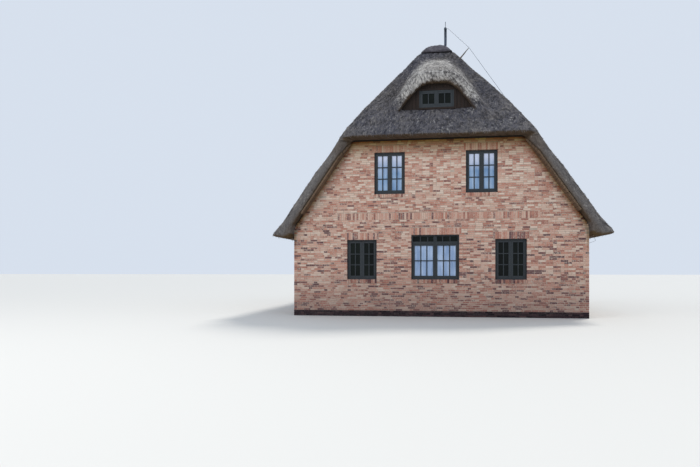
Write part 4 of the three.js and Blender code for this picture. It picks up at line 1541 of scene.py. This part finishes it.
mastValues = {
    "foot": 0.05, "radius": 0.05, "collar": 0.07, "base": 1.5, "baseTop": 0.02, "collarTop": 0.05,
    "collarEnd": 0.07, "shoulder": 11.055, "neck": 0.016, "neckRise": 0.015, "rodRise": 0.016,
    "rod": 0.011, "rodTop": 11.28, "steps": 24, "clampLow": 10.985, "clampHigh": 11.035, "clamp": 0.056,
    "slant": (1, 7.3, 61.7),
}
postValues = {
    "radius": 0.032, "top": 0.011, "stand": 0.44, "root": 0.1, "lean": 50, "rings": 5, "knots": 0.004,
    "knotScale": 9, "apart": 7, "sides": 14, "bevel": 0.003, "y": -4.61,
    "feet": {"wire_post_upper": 0.92, "wire_post_lower": 5.05},
}
clipValues = {
    "heights": (0.45, 1.25, 2.05), "width": 0.024, "height": 0.035, "out": 5.03, "root": 0.012,
    "chamfer": 0.003, "y": -4.61,
}


def addMast():
    v = mastValues
    low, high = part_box("lightning_mast")
    centre = (low + high) / 2
    base = v["collar"] * v["base"]
    profile = [
        (0, low.z - v["foot"]), (base, low.z - v["foot"]), (base, low.z + v["baseTop"]),
        (v["collar"], low.z + v["collarTop"]), (v["radius"], low.z + v["collarEnd"]),
        (v["radius"], v["clampLow"]), (v["clamp"], v["clampLow"]), (v["clamp"], v["clampHigh"]),
        (v["radius"], v["clampHigh"]), (v["radius"], v["shoulder"]),
        (v["neck"], v["shoulder"] + v["neckRise"]), (v["rod"], v["shoulder"] + v["rodRise"]),
        (v["rod"], v["rodTop"]), (0, high.z),
    ]
    shape = bmesh.new()
    points = [shape.verts.new((r, 0, z)) for r, z in profile]
    edges = [shape.edges.new(pair) for pair in zip(points, points[1:])]
    bmesh.ops.spin(shape, geom=points + edges, cent=(0, 0, 0), axis=(0, 0, 1), angle=math.tau,
                   steps=v["steps"], use_merge=True)
    bmesh.ops.remove_doubles(shape, verts=shape.verts, dist=0.0002)
    bmesh.ops.recalc_face_normals(shape, faces=shape.faces)
    bmesh.ops.translate(shape, verts=shape.verts, vec=(centre.x, centre.y, 0))
    # The spin gives its faces in another order each run, so they are sorted by their place
    slant = Vector(v["slant"])
    shape.faces.sort(key=lambda face: face.calc_center_median().dot(slant))
    mesh = meshOf("mast_tube", shape)
    finishPiece("mast_tube", mesh, looks["metal"], ["lightning_mast"])


def addPost(name, foot):
    v = postValues
    lean = math.radians(v["lean"])
    direction = Vector((math.cos(lean), 0, math.sin(lean)))
    root = Vector((foot, v["y"], slopeHeight(foot))) - direction * v["root"]
    length = v["stand"] + v["root"]
    shape = bmesh.new()
    bmesh.ops.create_cone(shape, cap_ends=True, segments=v["sides"], radius1=v["radius"],
                          radius2=v["top"], depth=length)
    long = [e for e in shape.edges if abs(e.verts[0].co.z - e.verts[1].co.z) > length / 2]
    bmesh.ops.subdivide_edges(shape, edges=long, cuts=v["rings"])
    for vertex in shape.verts:
        places = (vertex.co * v["knotScale"] + Vector((foot, away, 0)) for away in (0, v["apart"]))
        vertex.co.xy += Vector([noise.noise(place) for place in places]) * v["knots"]
    bevelSharp(shape, v["bevel"])
    turn = direction.to_track_quat("Z", "Y").to_matrix().to_4x4()
    bmesh.ops.transform(shape, matrix=Matrix.Translation(root + direction * length / 2) @ turn,
                        verts=shape.verts)
    finishPiece(name + "_stick", meshOf(name + "_stick", shape), looks["post"], [name])


def addClips():
    v = clipValues
    sizes = np.tile([v["out"] - wallHalf + v["root"], v["width"], v["height"]], (len(v["heights"]), 1))
    middle = (v["out"] + wallHalf - v["root"]) / 2
    centres = np.array([(middle, v["y"], height) for height in v["heights"]])
    points = stretchBlocks(blockShape[0], sizes, v["chamfer"]) + centres[:, None, :]
    addBlocks("wire_clips", points, looks["metal"])


addMast()
for name, foot in postValues["feet"].items():
    addPost(name, foot)
addClips()
print("mast and posts stand")


# What keeps its shape from the part gets a finish of its own

finishes = {
    "mortar": ("front_gable_wall", "back_gable_wall", "left_wall", "right_wall"),
    "plinthMortar": ("plinth",), "concrete": ("ground_floor",),
    "floorBoards": ("upper_floor", "attic_floor"), "roofBoards": ("front_hip_boards", "back_hip_boards"),
    "metal": ("lightning_wire",),
}
for look, names in finishes.items():
    for name in names:
        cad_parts[name].data.materials.clear()
        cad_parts[name].data.materials.append(looks[look].material)

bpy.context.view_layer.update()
sizes = {o.name: sum(len(p.vertices) - 2 for p in o.data.polygons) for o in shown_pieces()}
for name in sorted(sizes, key=sizes.get)[-8:]:
    print(name, "has", sizes[name], "triangles")
print("triangles in all:", sum(sizes.values()))
